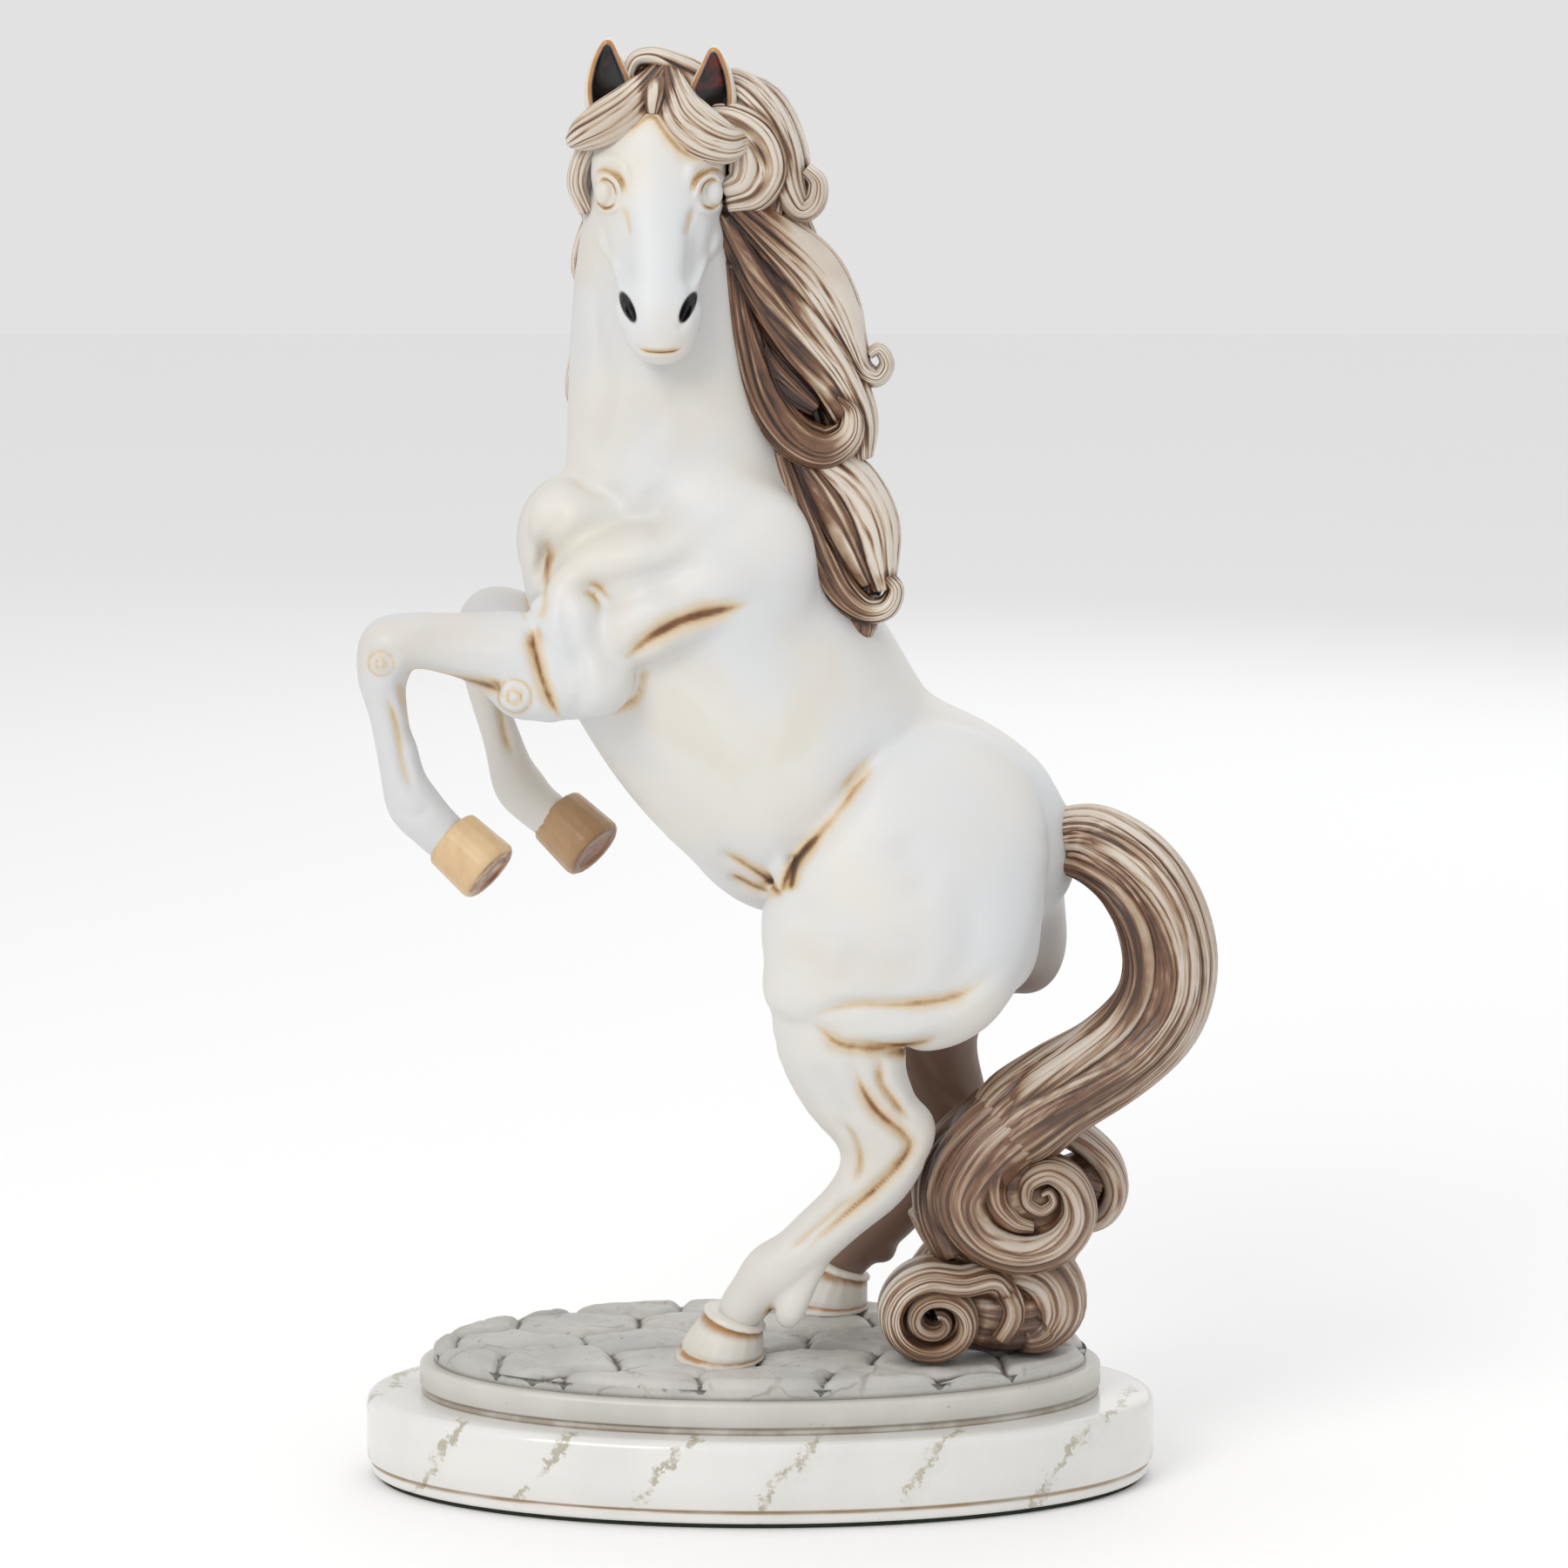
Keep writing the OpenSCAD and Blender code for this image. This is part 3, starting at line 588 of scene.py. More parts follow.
def add_head_lines(clay):
    front = -9      # the lines are pressed only on what lies before this y
    for side in (-1, 1):
        for points, width, depth, high_y, stain_and_shade in (
                # lids: a heavy one above, a thin one below, with gilt outlines and a tear line
                ([(10,318.6), (11,323.2), (14.4,325.4), (17.8,323)], 1.0, -1.4, front, None),
                ([(10.2,318.2), (12.6,316), (15.8,316.2), (18,319.4)], 0.8, -0.9, front, None),
                ([(10.9,319), (12,322.8), (14.5,324.2), (17,322.6)], 0.5, 0.3, front, 0.95),
                ([(11,318.8), (13,317), (15.6,317.2), (17.3,319.6)], 0.5, 0.2, front, 0.8),
                ([(9,319), (9.8,324.2), (14.2,327), (18.2,325.2)], 0.7, 0.5, front, 0.8),
                ([(8,322), (9.4,328), (14.2,330), (18.6,328)], 1.6, -1.1, front, None),
                ([(9.6,317.8), (8.2,313), (7.4,309)], 1.0, 0.9, front, 0.3),
                # facial crest, the flat planes beside the bridge, and the muscle toward the lips
                ([(17.2,313), (15.6,306), (12.2,300), (9.6,295)], 1.8, -1.2, front, 0.0),
                ([(9.2,318), (9.4,309), (8.6,301), (7.6,296)], 2.6, 1.4, front, 0.03),
                ([(18,307), (15,298.5), (11.2,293.5), (9.4,290)], 2.0, 0.8, front, 0.05),
                ([(5,285.5), (6.6,287), (8.6,289)], 1.2, 0.5, -20, 0.15)):
            clay.line([(FACE_X + side * dx, z) for dx, z in points], width, depth, high_y=high_y, stain_and_shade=stain_and_shade)
    clay.line([(-33,281.2), (-30,279.9), (-26.3,279.6), (-22.4,279.9), (-19.4,281.2)], 0.8, 0.8,
        high_y=-22, stain_and_shade=0.85)
    # patina and painted shade under the forelock's edge
    clay.line([(-47,334), (-41,334.6), (-34,338), (-28.5,341), (-25,337), (-20.5,332), (-14,329.4),
        (-6,329)], 2.4, 0.1, high_y=front, stain_and_shade=0.7)


def cast_head(material):
    step = 0.42
    clay = Clay((-54,-50,266), (0,16,358), step)
    add_head_forms(clay)
    add_head_lines(clay)
    nostrils = [[FACE_X + side * 8, -36.5, 291.3] for side in (-1,1)]
    for side, centre in zip((-1,1), nostrils):
        clay.blob(centre, [1.5,4.5,4.3], 0.8, lean=side * 26, cut=True)
    points, quads = clay.skin()
    normals = normals_of(points, quads)
    hollow = 0.5 * hollow_of(clay, points, normals) + 0.5 * clay.patina_and_shade(points)
    dark = np.zeros(len(points))
    for side, centre in zip((-1,1), nostrils):
        d = points - centre
        lean = math.radians(-side * 26)
        u = d[:, 0] * math.cos(lean) + d[:, 2] * math.sin(lean)
        w = -d[:, 0] * math.sin(lean) + d[:, 2] * math.cos(lean)
        inside = (u / 1.75) ** 2 + (w / 4.5) ** 2
        dark = np.maximum(dark, (1 - soft(inside, 0.7, 1.15)) * (points[:, 1] < -27))
    finish_piece("head_casting", points, quads, ["head"], material,
        {"hollow": hollow, "shade": np.zeros(len(points)), "dark": dark})


def cast_ear(name, rows, scoop_rows, material):
    """A pointed ear with a deep hollow facing forward."""
    rows, scoop_rows = np.array(rows, float), np.array(scoop_rows, float)
    low = rows[:, :3].min(axis=0) - 11
    high = rows[:, :3].max(axis=0) + 6
    clay = Clay(low, high, 0.33)
    clay.tube(rows, 1.0, cuts=5)
    clay.tube(scoop_rows, 0.8, cuts=5, cut=True)
    points, quads = clay.skin()
    scoop = Clay(low, high, 0.33)
    scoop.tube(scoop_rows, 0.8, cuts=5)
    inner = 1 - soft(scoop.sample(points), 0.05, 0.7)
    rim = np.exp(-((scoop.sample(points) - 0.9) / 0.7) ** 2)
    finish_piece(name + "_casting", points, quads, [name], material,
        {"inner": inner, "rim": rim})


def cast_ears(material):
    cast_ear("right_ear", [[-36,-9,334,5,3.6], [-38.5,-10,341,6.8,4.4], [-40,-11,348,6.6,4.2],
        [-40.6,-12,355,4,3], [-40.3,-12.5,360.6,0.9,0.9]], [[-37.5,-15,338,2.2,2.6],
        [-38.9,-15.2,342,4.4,3.4], [-39.9,-15.6,348,4.7,3.2], [-40.5,-15.4,354,2.9,2.2],
        [-40.4,-14.6,359,0.7,1]], material)
    cast_ear("left_ear", [[-15,-9,332,5,3.6], [-13.6,-10,339,6.6,4.4], [-12.6,-11,346,6.4,4.2],
        [-11.8,-12,353,3.9,3], [-12,-12.5,358.6,0.9,0.9]], [[-14.6,-15,336,2.2,2.6],
        [-14,-15.2,340,4.2,3.4], [-13.1,-15.6,346,4.6,3.2], [-12.3,-15.4,352,2.8,2.2],
        [-12.2,-14.6,357,0.7,1]], material)


# ---------------------------------------------------------------- hair

def curl_rows(centre, start_radius, end_radius, start_turn, turns, y, wide, deep, squash=1.0, y_end=None):
    """Rows of a flat spiral in the x-z plane; a positive turns count winds counterclockwise."""
    rows = []
    count = max(6, int(abs(turns) * 10))
    y_end = y if y_end is None else y_end
    for i in range(count + 1):
        t = i / count
        angle = math.radians(start_turn) + TURN * turns * t
        radius = start_radius + (end_radius - start_radius) * t
        rows.append([centre[0] + radius * math.cos(angle), y + (y_end - y) * t,
            centre[1] + squash * radius * math.sin(angle), wide[0] + (wide[1] - wide[0]) * t,
            deep[0] + (deep[1] - deep[0]) * t])
    return rows


def lock(rows, strands, seed, depth):
    """A lock of hair: a swept, ridged section. Gives points, faces, how deep each point lies in a
    groove, and a place that runs along the strands for the finest streaks."""
    random = np.random.default_rng(seed)
    sides, cuts = max(96, 7 * strands), 6
    rows = spline_rows(rows, cuts)
    centres = rows[:, :3]
    heading = np.gradient(centres, axis=0)
    heading /= np.linalg.norm(heading, axis=1)[:, None] + 1e-9
    travel = np.concatenate([[0], np.cumsum(np.linalg.norm(np.diff(centres, axis=0), axis=1))])
    side = ACROSS - heading * heading[:, 1:2]
    side /= np.linalg.norm(side, axis=1)[:, None] + 1e-9
    up = np.cross(heading, side)
    theta = circle(sides)[None, :]
    s = travel[:, None]
    phase = random.uniform(0, TURN, 6)
    warped = (theta + 0.22 * np.sin(2 * theta + phase[0] + s * 0.02) + 0.14
        * np.sin(3 * theta + phase[1] - s * 0.03) + 0.06 * np.sin(7 * theta + phase[2] + s * 0.06))
    coarse_count = 2 * max(2, round(strands * 0.3))
    main = 1 - np.abs(np.sin(warped * coarse_count / 2 + phase[3])) ** 0.5
    fine = 1 - np.abs(np.sin(warped * round(strands * 0.75) + phase[4] + 0.5
        * np.sin(s * 0.11 + phase[5]))) ** 0.7
    place = np.stack([np.broadcast_to(theta * 3, main.shape).ravel(),
        np.broadcast_to(s * 0.16, main.shape).ravel(), np.full(main.size, seed * 3.1)], axis=1)
    patch = value_noise(place, 1.0, seed).reshape(main.shape)
    main = main * (0.2 + 1.1 * patch)
    fine = fine * (1.25 - 0.7 * patch)
    ends = np.clip(np.minimum(np.arange(len(rows)), np.arange(len(rows))[::-1]) / 3.0, 0, 1)[:, None]
    size = np.minimum(rows[:, 3], rows[:, 4])[:, None]
    dent = depth * (0.15 * main + 0.075 * fine) * np.minimum(size, 9) * (0.4 + 0.6 * ends)
    ru = rows[:, 3:4] - dent * 0.9
    rv = rows[:, 4:5] - dent * 0.9
    points = (centres[:, None, :] + up[:, None, :] * (ru * np.cos(theta))[:, :, None] + side[:, None, :]
        * (rv * np.sin(theta))[:, :, None])
    groove = np.clip(0.8 * main ** 1.4 + 0.5 * fine ** 1.5, 0, 1.3)
    around = 0.45 * strands
    strand = np.stack([around * np.cos(warped), around * np.sin(warped), 0.05 * s + 0 * warped],
        axis=2).reshape(-1,3)
    strand = np.vstack([strand, strand[:1], strand[-1:]]) + [0, 0, 7.3 * seed]
    flat = np.vstack([points.reshape(-1,3), centres[:1], centres[-1:]])
    faces = loft_faces(len(rows), sides)
    return flat, faces, np.concatenate([groove.ravel(), [0.5,0.8]]), strand


def hair_piece(name, locks, nodes, material, stain_and_shade=None):
    """Several locks as one piece, shaded where they crowd together and where stain(x, z) says."""
    all_points, all_faces, grooves, owner, strands_at = [], [], [], [], []
    base = 0
    for index, (rows, strands, depth) in enumerate(locks):
        points, faces, groove, strand = lock(rows, strands, seed=len(name) * 7 + index, depth=depth)
        strands_at.append(strand)
        all_points.append(points)
        all_faces += [tuple(v + base for v in face) for face in faces]
        grooves.append(groove)
        owner.append(np.full(len(points), index))
        base += len(points)
    points, groove, owner = np.vstack(all_points), np.concatenate(grooves), np.concatenate(owner)
    crowd = np.zeros(len(points))
    for index, (rows, _, _) in enumerate(locks):
        rows = spline_rows(rows, 3)
        other = owner != index
        if not other.any():
            continue
        target = points[other]
        nearest = np.full(len(target), 1e9)
        for row in rows:
            d = np.linalg.norm((target - row[:3]) / [1, row[4] / max(row[3], 0.1), 1], axis=1) - row[3]
            nearest = np.minimum(nearest, d)
        crowd[other] = np.maximum(crowd[other], 1 - soft(nearest, -0.4, 1.6))
    hollow = groove + 0.42 * crowd + (stain_and_shade(points[:, 0], points[:, 2]) if stain_and_shade else 0)
    finish_piece(name, points, all_faces, nodes, material,
        {"hollow": np.clip(hollow, 0, MAX_HOLLOW), "strand": np.vstack(strands_at)})


def style_forelock(material):
    hair_piece("forelock_locks", [
        ([[-26,-9,352,4,5], [-29.5,-14,347.6,5.4,5], [-34.5,-17.6,343,6.4,4.8], [-41,-18.5,339,6.2,4.6],
            [-46,-16,336.4,5,4.4], [-48.4,-12,335,3,4]], 15, 0.8),
        ([[-25,-9,352,4,5], [-23.4,-15,346,6.2,5], [-20.6,-18.6,340.4,7.6,5], [-15,-19.6,336,7.4,4.8],
            [-9.4,-18.4,333.8,6,4.6], [-5.6,-14,334,4,4.2]], 17, 0.7),
        ([[-27,-10,350,6,5], [-27.4,-16,346,6.4,4.6], [-27.8,-18.6,343,4.6,3.6], [-28,-19.6,341,2.4,2]],
            11, 0.9),
        ([[-12,-2,344,5,7], [-17,-4,350,5,7.5], [-23,-6,353.5,4.6,7.5], [-28.5,-7,356.2,3.2,7],
            [-33,-7.5,355.5,2.4,6], [-34.6,-7.5,351,2.1,5.5], [-31,-7.5,348.6,2,5],
            [-28,-7,350.5,1.6,4.5]], 12, 0.9),
        ([[-20,2,346,7,8], [-29,2,348,7,8], [-36,0,343,5,7]], 12, 0.9),
    ], ["forelock"], material)


def style_mane(material):
    hair_piece("mane_crest_locks", [
        ([[-18,3,344,6,8], [-7.6,-1,347,6.5,8], [0.5,-5,340,7,9], [5,-6,331,6.6,8.5],
            [7.6,-6,321.5,5.4,8], [11,-6,315.8,4,7.5], [14.8,-6,317.6,3.4,7], [15.6,-6,323,2.8,6.5],
            [12.4,-6,326.5,2,6]], 16, 1.0),
        ([[-13,-8,340,4,5], [-7,-12,339.5,5,5.4], [0,-12.5,335,5.4,5.4], [3,-12,326.5,5.2,5.4],
            [-1,-12,319.5,4.6,5], [-8,-11,317.5,3.4,4.4]], 13, 1.0),
        ([[-9,-10,335,3,5], [-4,-13,331,4.4,4.6], [-4.5,-13,324,4.2,4.2], [-9,-12,321.5,2.6,4]], 11, 1.0),
        ([[-12,3,346,7,9], [0,4,342,8,10], [6,4,328,8,10], [6,3,314,7,9]], 15, 1.0),
        ([[-2,-4,336,7,8], [3,-4,324,7,8], [2,-4,312,6,8]], 12, 1.0),
    ], ["mane_crest"], material)
    hair_piece("mane_long_locks", [
        ([[-8,-6,318,5,8], [3,-8,308,8,9], [12.5,-8,298.5,10,9], [19.6,-7,288,8.6,8.5],
            [24.4,-6,278.5,5.4,8], [27.6,-6,272.4,3.6,7.5], [32,-6,270.4,2.8,7], [34.6,-6,274,2.2,6.4],
            [32.6,-6,278,1.9,6], [29.8,-6,276.6,1.4,5.6]], 19, 0.9),
        ([[-9,-7,314,5,7], [0,-9,297,8,8], [10,-10,283,9.4,8.4], [20,-9,270.5,8.4,8], [26,-8,259,6.6,7.4],
            [27.6,-7,249,3.6,6]], 18, 0.9),
        ([[-7,-8,302,4,6], [-3,-9.5,281,6,7], [1.5,-10.5,266,6.4,7.4], [9,-11.5,255.5,6.4,7.6],
            [17.5,-12,251.6,6.2,7.4], [24,-12,255.4,4.8,7], [24.8,-11,262,3.2,6.4], [21,-11,266,2,5.6]],
            16, 1.0),
        ([[-6,-6,294,5,6], [1,-9,276,7,6.4], [9,-10,267,5.4,6], [15,-9.5,262.4,3,5]], 17, 1.4),
        ([[-8,-2,316,8,9], [2,-1,296,11,10], [11,0,276,12,11], [18,0,260,10,10], [20,-2,248,6,8]], 18,
            1.0),
    ], ["mane_long"], material, lambda x, z: 0.42 * (1 - soft(x + 0.29 * (z - 312), -2, 12)))
    hair_piece("mane_low_locks", [
        ([[14,-7,251,5,7], [24,-9,242,8,8.4], [29.6,-10,231,8.6,8.6], [32,-10,220.5,6.4,8],
            [33.6,-10,213.4,3.4,7]], 15, 0.7),
        ([[6,-7,250,4,6], [11.6,-9.6,234,6.4,7], [16.6,-10.6,222.5,6.6,7.4], [22,-11.6,213,5.4,7.4],
            [28.5,-12,207.8,4,7], [34.4,-12,208.4,3.4,6.6], [36.8,-12,213.4,2.6,6],
            [34.2,-12,217,1.8,5.4]], 14, 1.0),
        ([[10,-7,250,5,6], [19.6,-10,235,7.6,7.4], [26,-11,222.5,5.6,6.6], [29.6,-11,215,2.8,5]], 14,
            1.1),
        ([[27,-9,209,4.6,6.4], [28,-9.4,203,4.4,6], [27.4,-9,198.8,2,3]], 9, 1.3),
        ([[12,-1,252,8,9], [22,-1,236,10,10], [28,-3,220,8,9], [29,-6,210,4,7]], 15, 1.0),
    ], ["mane_low"], material, lambda x, z: 0.35 * (1 - soft(x + 0.4 * (z - 250), 8, 18)))


def style_far_mane(material):
    hair_piece("mane_far_locks", [
        ([[-42,-9,336,3,3.4], [-47,-9,330,2.8,3.2], [-49,-8,322.5,2.8,3], [-46.4,-7,315,2.2,2.6]], 9,
            1.0),
        ([[-40,0,344,4,5], [-45,0,333,4.6,5], [-46.4,0,322,4.2,5], [-44.6,1,310,2.4,3]], 9, 1.0),
        ([[-43,3,316,3,3], [-47.6,5,306,2.8,3.2], [-48.8,7,298,2.4,3], [-46,8,292,1.6,2]], 8, 1.0),
        ([[-36,12,304,4,3.4], [-43,14,290,4.4,3.6], [-48.6,15,275,3.6,3.4], [-51.4,14,265,2.2,2.6],
            [-50,12,259,1.2,1.6]], 9, 1.0),
        ([[-30,9,340,7,5], [-32,14,322,8,5], [-31,17,302,8,4.6], [-27,19.5,282,6.6,4.4],
            [-30,21,266,4.4,3.6], [-35,21,260,2,2.4]], 14, 1.0),
        ([[-20,8,344,8,6], [-19,14,326,9,6], [-15,18,306,9,5.4], [-9,21,286,8,5], [-9,23,268,6,4.4],
            [-14,24.5,256,4,3.6], [-20,24,252,2,2.4]], 15, 1.0),
        ([[-10,5,344,7,7], [-5,11,326,9,7], [0,15,304,9.4,6.4], [5,18,284,9,6], [7,20,264,7,5.4],
            [3,22,250,4,4.4], [-2,22,246,2,3]], 16, 1.0),
        ([[0,5,326,7,7], [8,9,306,8,7], [15,11,284,9,7], [19,12,262,8.6,7], [22,12,242,7,6.4],
            [25,10,226,5,6], [24,9,214,2.4,4]], 16, 1.0),
    ], ["mane_far"], material)


def style_tail(material):
    hair_piece("tail_upper_locks", [
        ([[74,6,138,5,6], [80,5.4,141,6.6,8.4], [87,3,142.4,9,11], [94,0,140.5,11,12.6],
            [103.5,-4,133.5,12.4,13.6], [110.5,-7,122,13,14.6], [113,-9,108,13.2,15],
            [109,-11,94.5,13.2,15], [97,-12.6,83,13,15], [82,-13.6,74,13.6,15], [71,-14,65.5,14,15],
            [65,-13,58,9,10]], 30, 0.75),
        ([[79,3,143,2.6,4], [88,-4,144,4,5], [99,-10,140,5,6], [109,-15,130,5.4,6], [115,-18,116,5.4,6],
            [114.6,-20,101,5.4,6], [105,-21.6,87,5.4,6], [90,-22.4,77,5.4,6], [77,-22,68,5,5.6],
            [70,-20,60,3,4]], 11, 0.9),
        ([[78,1,136,2.4,4], [88,-6,135.5,3.6,5], [97,-12,130,4.6,5.4], [103,-17,120,5,5.6],
            [104,-20,107,5,5.6], [98,-22,95,5,5.6], [86,-23,85,5,5.6], [73,-22.6,75,4.8,5.4],
            [64,-20,65,3,4]], 10, 0.9),
    ], ["tail_upper"], material,
        # painted shade on the inner side of the tail's arch, and darker towards the bottom
        lambda x, z: 0.55 * (1 - soft(np.hypot(x - 82, z - 112), 19, 32)) * soft(z, 88, 104)
        + 0.3 * (1 - soft(z, 62, 96)))
    hair_piece("tail_curl_locks", [
        ([[87,-13,77,8,10], [74,-14,68,12,13.4], [62,-15,58,12.6,15], [55.5,-16,46,11,15.4],
            [60.5,-17,35.5,8.6,15], [71.5,-18,31,7.4,14], [82,-18,33.5,6.8,13.4], [87.4,-18,41,5.8,12.6],
            [85.6,-18,49.4,4.8,11.6], [79.6,-18,53.4,4,10.8], [73.8,-18,50.6,3.4,10],
            [73.4,-18.4,45.4,2.9,9.4], [77.4,-18.8,43,2.5,9], [80.6,-19,45.4,2,8.6],
            [79.6,-19,48.4,1.6,8.2], [77.4,-19,47.6,1.1,8]], 17, 1.0),
        ([[84,-12,73,6,9], [72,-17,64,6,9], [64.5,-20,54,5.4,9], [64.6,-22,45.5,4.2,8], [69.5,-23,40,3,7],
            [75,-23,38.5,1.6,6]], 10, 1.2),
        ([[66,-9,68,8,12], [53,-11,55,9,12], [49.6,-12,42,7.6,12], [54,-13,29,6,12]], 13, 1.1),
        ([[52,-12,46,7,10], [64,-12,46,16,13], [76,-12,45,16,13], [86,-10,45,8,10]], 14, 1.2),
        ([[84,-3,48,5,8], [90,-2,46.5,9,9], [95,-2,45,6,8]], 11, 1.0),
        ([[83,-2,62,5,10], [90.5,-2,57.5,4.6,10.6], [96.5,-2,51.5,4.4,11], [98.6,-2,44,4.2,11],
            [95.6,-2,37.4,4,11], [89.4,-2,35,3.4,10.4], [84.4,-2,38.4,3,10]], 14, 0.8),
    # a little darker all over, and painted shade low down and on the side toward the body
    ], ["tail_curl"], material, lambda x, z: 0.1 + 0.3 * (1 - soft(x, 52, 72)) + 0.3 * (1 - soft(z, 24, 34)))
    front = curl_rows((48.4,12.4), 13.4, 1.2, 62, 2.1, -19, (5,1.5), (13.5,10.5), squash=0.88, y_end=-21)
    hair_piece("tail_roll_locks", [
        ([[69,-12,18,5,10], [62.5,-16,23,5,12.4]] + front, 15, 1.1),
        ([[47,-8,42,7,11], [54,-9,32,8,12], [66,-9,26.5,8.4,13], [77.5,-9,21.6,9.6,14.4],
            [80.6,-9,13.4,10.6,15], [76.5,-10,7,8.6,15], [69.5,-13,4.6,5,13]], 21, 0.9),
        ([[60,-6,27,7,10], [66.6,-12,20,6,11], [69.6,-16,12.6,5,11], [66,-17,5.6,4,10]], 13, 1.5),
        ([[56,4,26,8,10], [50,3,14,10,11], [56,2,6,7,10]], 14, 1.0),
        ([[52,-12,14,10,9], [62,-12,12,11.5,12], [72,-11,11,11,13], [80,-8,12,8,11]], 14, 1.2),
        ([[88,4,34,6,9], [80,6,24,9,10], [72,6,14,10,11], [76,5,7,8,10]], 15, 1.0),
    # a little darker all over, and painted shade near the ground
    ], ["tail_rolls"], material, lambda x, z: 0.14 + 0.3 * (1 - soft(z, 2, 12)))


# ---------------------------------------------------------------- hooves

def hoof(name, sections, material, level=False):
    """A hoof lofted through round sections: rows of x, y, z, half width in the plane, half width across.
    A level one turns its sections until the sole lies flat on the ground."""
    sides = 72
    rows = np.array(sections, float)
    centres = rows[:, :3]
    axis = unit(centres[-1] - centres[0])
    across = unit(ACROSS - axis * axis[1])
    square = np.cross(axis, across)
    theta = circle(sides)
    grain = 0.08 * np.sin(theta * 17) + 0.05 * np.sin(theta * 41 + 1)
    points, wall = [], []
    for index, row in enumerate(rows):
        turned = soft(index / (len(rows) - 1), 0, 1) if level else 0.0
        up = unit(square * (1 - turned) + np.array([1.0,0,0]) * turned)
        for t, g in zip(theta, grain if index else 0 * grain):
            points.append(row[:3] + up * (row[3] + g) * math.cos(t) + across * (row[4] + g) * math.sin(t))
            wall.append(index / (len(rows) - 1))
    points += [centres[0], centres[-1]]
    wall += [0.0,1.0]
    faces = loft_faces(len(rows), sides)
    finish_piece(name + "_casting", points, faces, [name], material, {"wall": wall})


def hoof_rows(top, bottom, profile):
    """Rows between the top and bottom ones: for each (t, grow), the row at t with its widths grown."""
    rows = []
    for t, grow in profile:
        row = [a + (b - a) * t for a, b in zip(top, bottom)]
        rows.append(row[:3] + [row[3] * grow, row[4] * grow])
    return rows


def fore_hoof(name, top, bottom, material):
    """A straight tan hoof: a rounded top edge, a plain wall, a bevelled edge and a dished sole."""
    profile = ((-0.06,0.6), (0.0,0.9), (0.03,0.98), (0.07,1.0), (0.3,1.01), (0.6,1.02), (0.86,1.03),
        (0.93,1.02), (0.97,0.97), (1.0,0.9), (1.0,0.66), (0.975,0.62), (0.97,0.4))
    hoof(name, hoof_rows(top, bottom, profile), material)


def hind_hoof(name, top, foot, material):
    """A flared hoof standing on the stones, with a coronet band above and a thin line near the ground."""
    profile = ((0.0,0.8), (0.02,1.06), (0.06,1.12), (0.12,1.1), (0.15,1.0), (0.3,1.0), (0.5,1.0),
        (0.7,1.0), (0.8,1.0), (0.83,0.975), (0.86,1.0), (0.95,1.02), (0.99,1.0), (1.0,0.96))
    hoof(name, hoof_rows(top, foot, profile), material, level=True)


def shoe_hooves(tan, shaded_tan, ivory):
    fore_hoof("left_fore_hoof", [-83.4,-27.6,147.6,8.5,8.5], [-72.4,-32.4,138.4,8.9,8.9], tan)
    # painted shade: the far fore hoof takes a darker copy of the tan paint
    fore_hoof("right_fore_hoof", [-57.4,29.6,144,8.7,8.7], [-46.4,23.6,134.6,9.3,9.3], shaded_tan)
    hind_hoof("left_hind_hoof", [-6.4,-19.6,12.6,7.6,7.8], [-11.2,-18,0.0,12.4,12.4], ivory)
    hind_hoof("right_hind_hoof", [23.5,33,12.6,7.4,7.6], [19,33,0.0,11.6,11], ivory)


# ---------------------------------------------------------------- plinth

def turned_oval(name, node, profile, material):
    """An oval turned through a profile of (inset from the rim, height), in mm, from the foot up."""
    half_x, half_y = half_size(*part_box(node))
    sides = 256
    theta = circle(sides)
    rings = [np.stack([(half_x - inset) * np.cos(theta), (half_y - inset) * np.sin(theta),
        np.full(sides, height)], axis=1) for inset, height in profile]
    points = np.vstack(rings + [[[0, 0, profile[0][1]]], [[0, 0, profile[-1][1]]]])
    points[:, 2] -= GROUND
    finish_piece(name, points, loft_faces(len(profile), sides), [node], material)


def rounded(inset, z, radius, start, count=6):
    """Profile points round an outer edge: start 'low' turns out and up, 'high' turns up and in."""
    out = []
    for i in range(count + 1):
        a = math.pi / 2 * i / count
        if start == "low":
            out.append((inset + radius * (1 - math.sin(a)), z + radius * (1 - math.cos(a))))
        else:
            out.append((inset + radius * (1 - math.cos(a)), z - radius * (1 - math.sin(a))))
    return out


def turn_plinth(marble, step_stone):
    low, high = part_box("marble_base")
    z0, z1 = low.z / MM, high.z / MM
    line = z0 + 3.6
    profile = (rounded(1.2, z0, 1.2, "low") + [(1.0, line - 0.5), (1.6, line - 0.2), (1.6, line + 0.2),
        (0.4, line + 0.6)] + [(0, line + 1.2), (0, (z0 + z1) / 2), (0, z1 - 3.2)]
        + rounded(0, z1, 3.0, "high", 8) + [(8, z1), (30, z1)])
    turned_oval("marble_plinth", "marble_base", profile, marble)
    low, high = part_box("base_step")
    z0, z1 = low.z / MM, high.z / MM
    profile = ([(3.0, z0), (0.6, z0), (0.4, z0 + 0.5), (0.6, z0 + 1.1), (1.6, z0 + 1.5)]
        + [(1.2, z0 + 1.8), (0.3, z0 + 2.1), (0, z0 + 2.6), (0, z1 - 2.2)]
        + rounded(0, z1, 1.6, "high", 8) + [(4, z1), (20, z1)])
    turned_oval("step_moulding", "base_step", profile, step_stone)


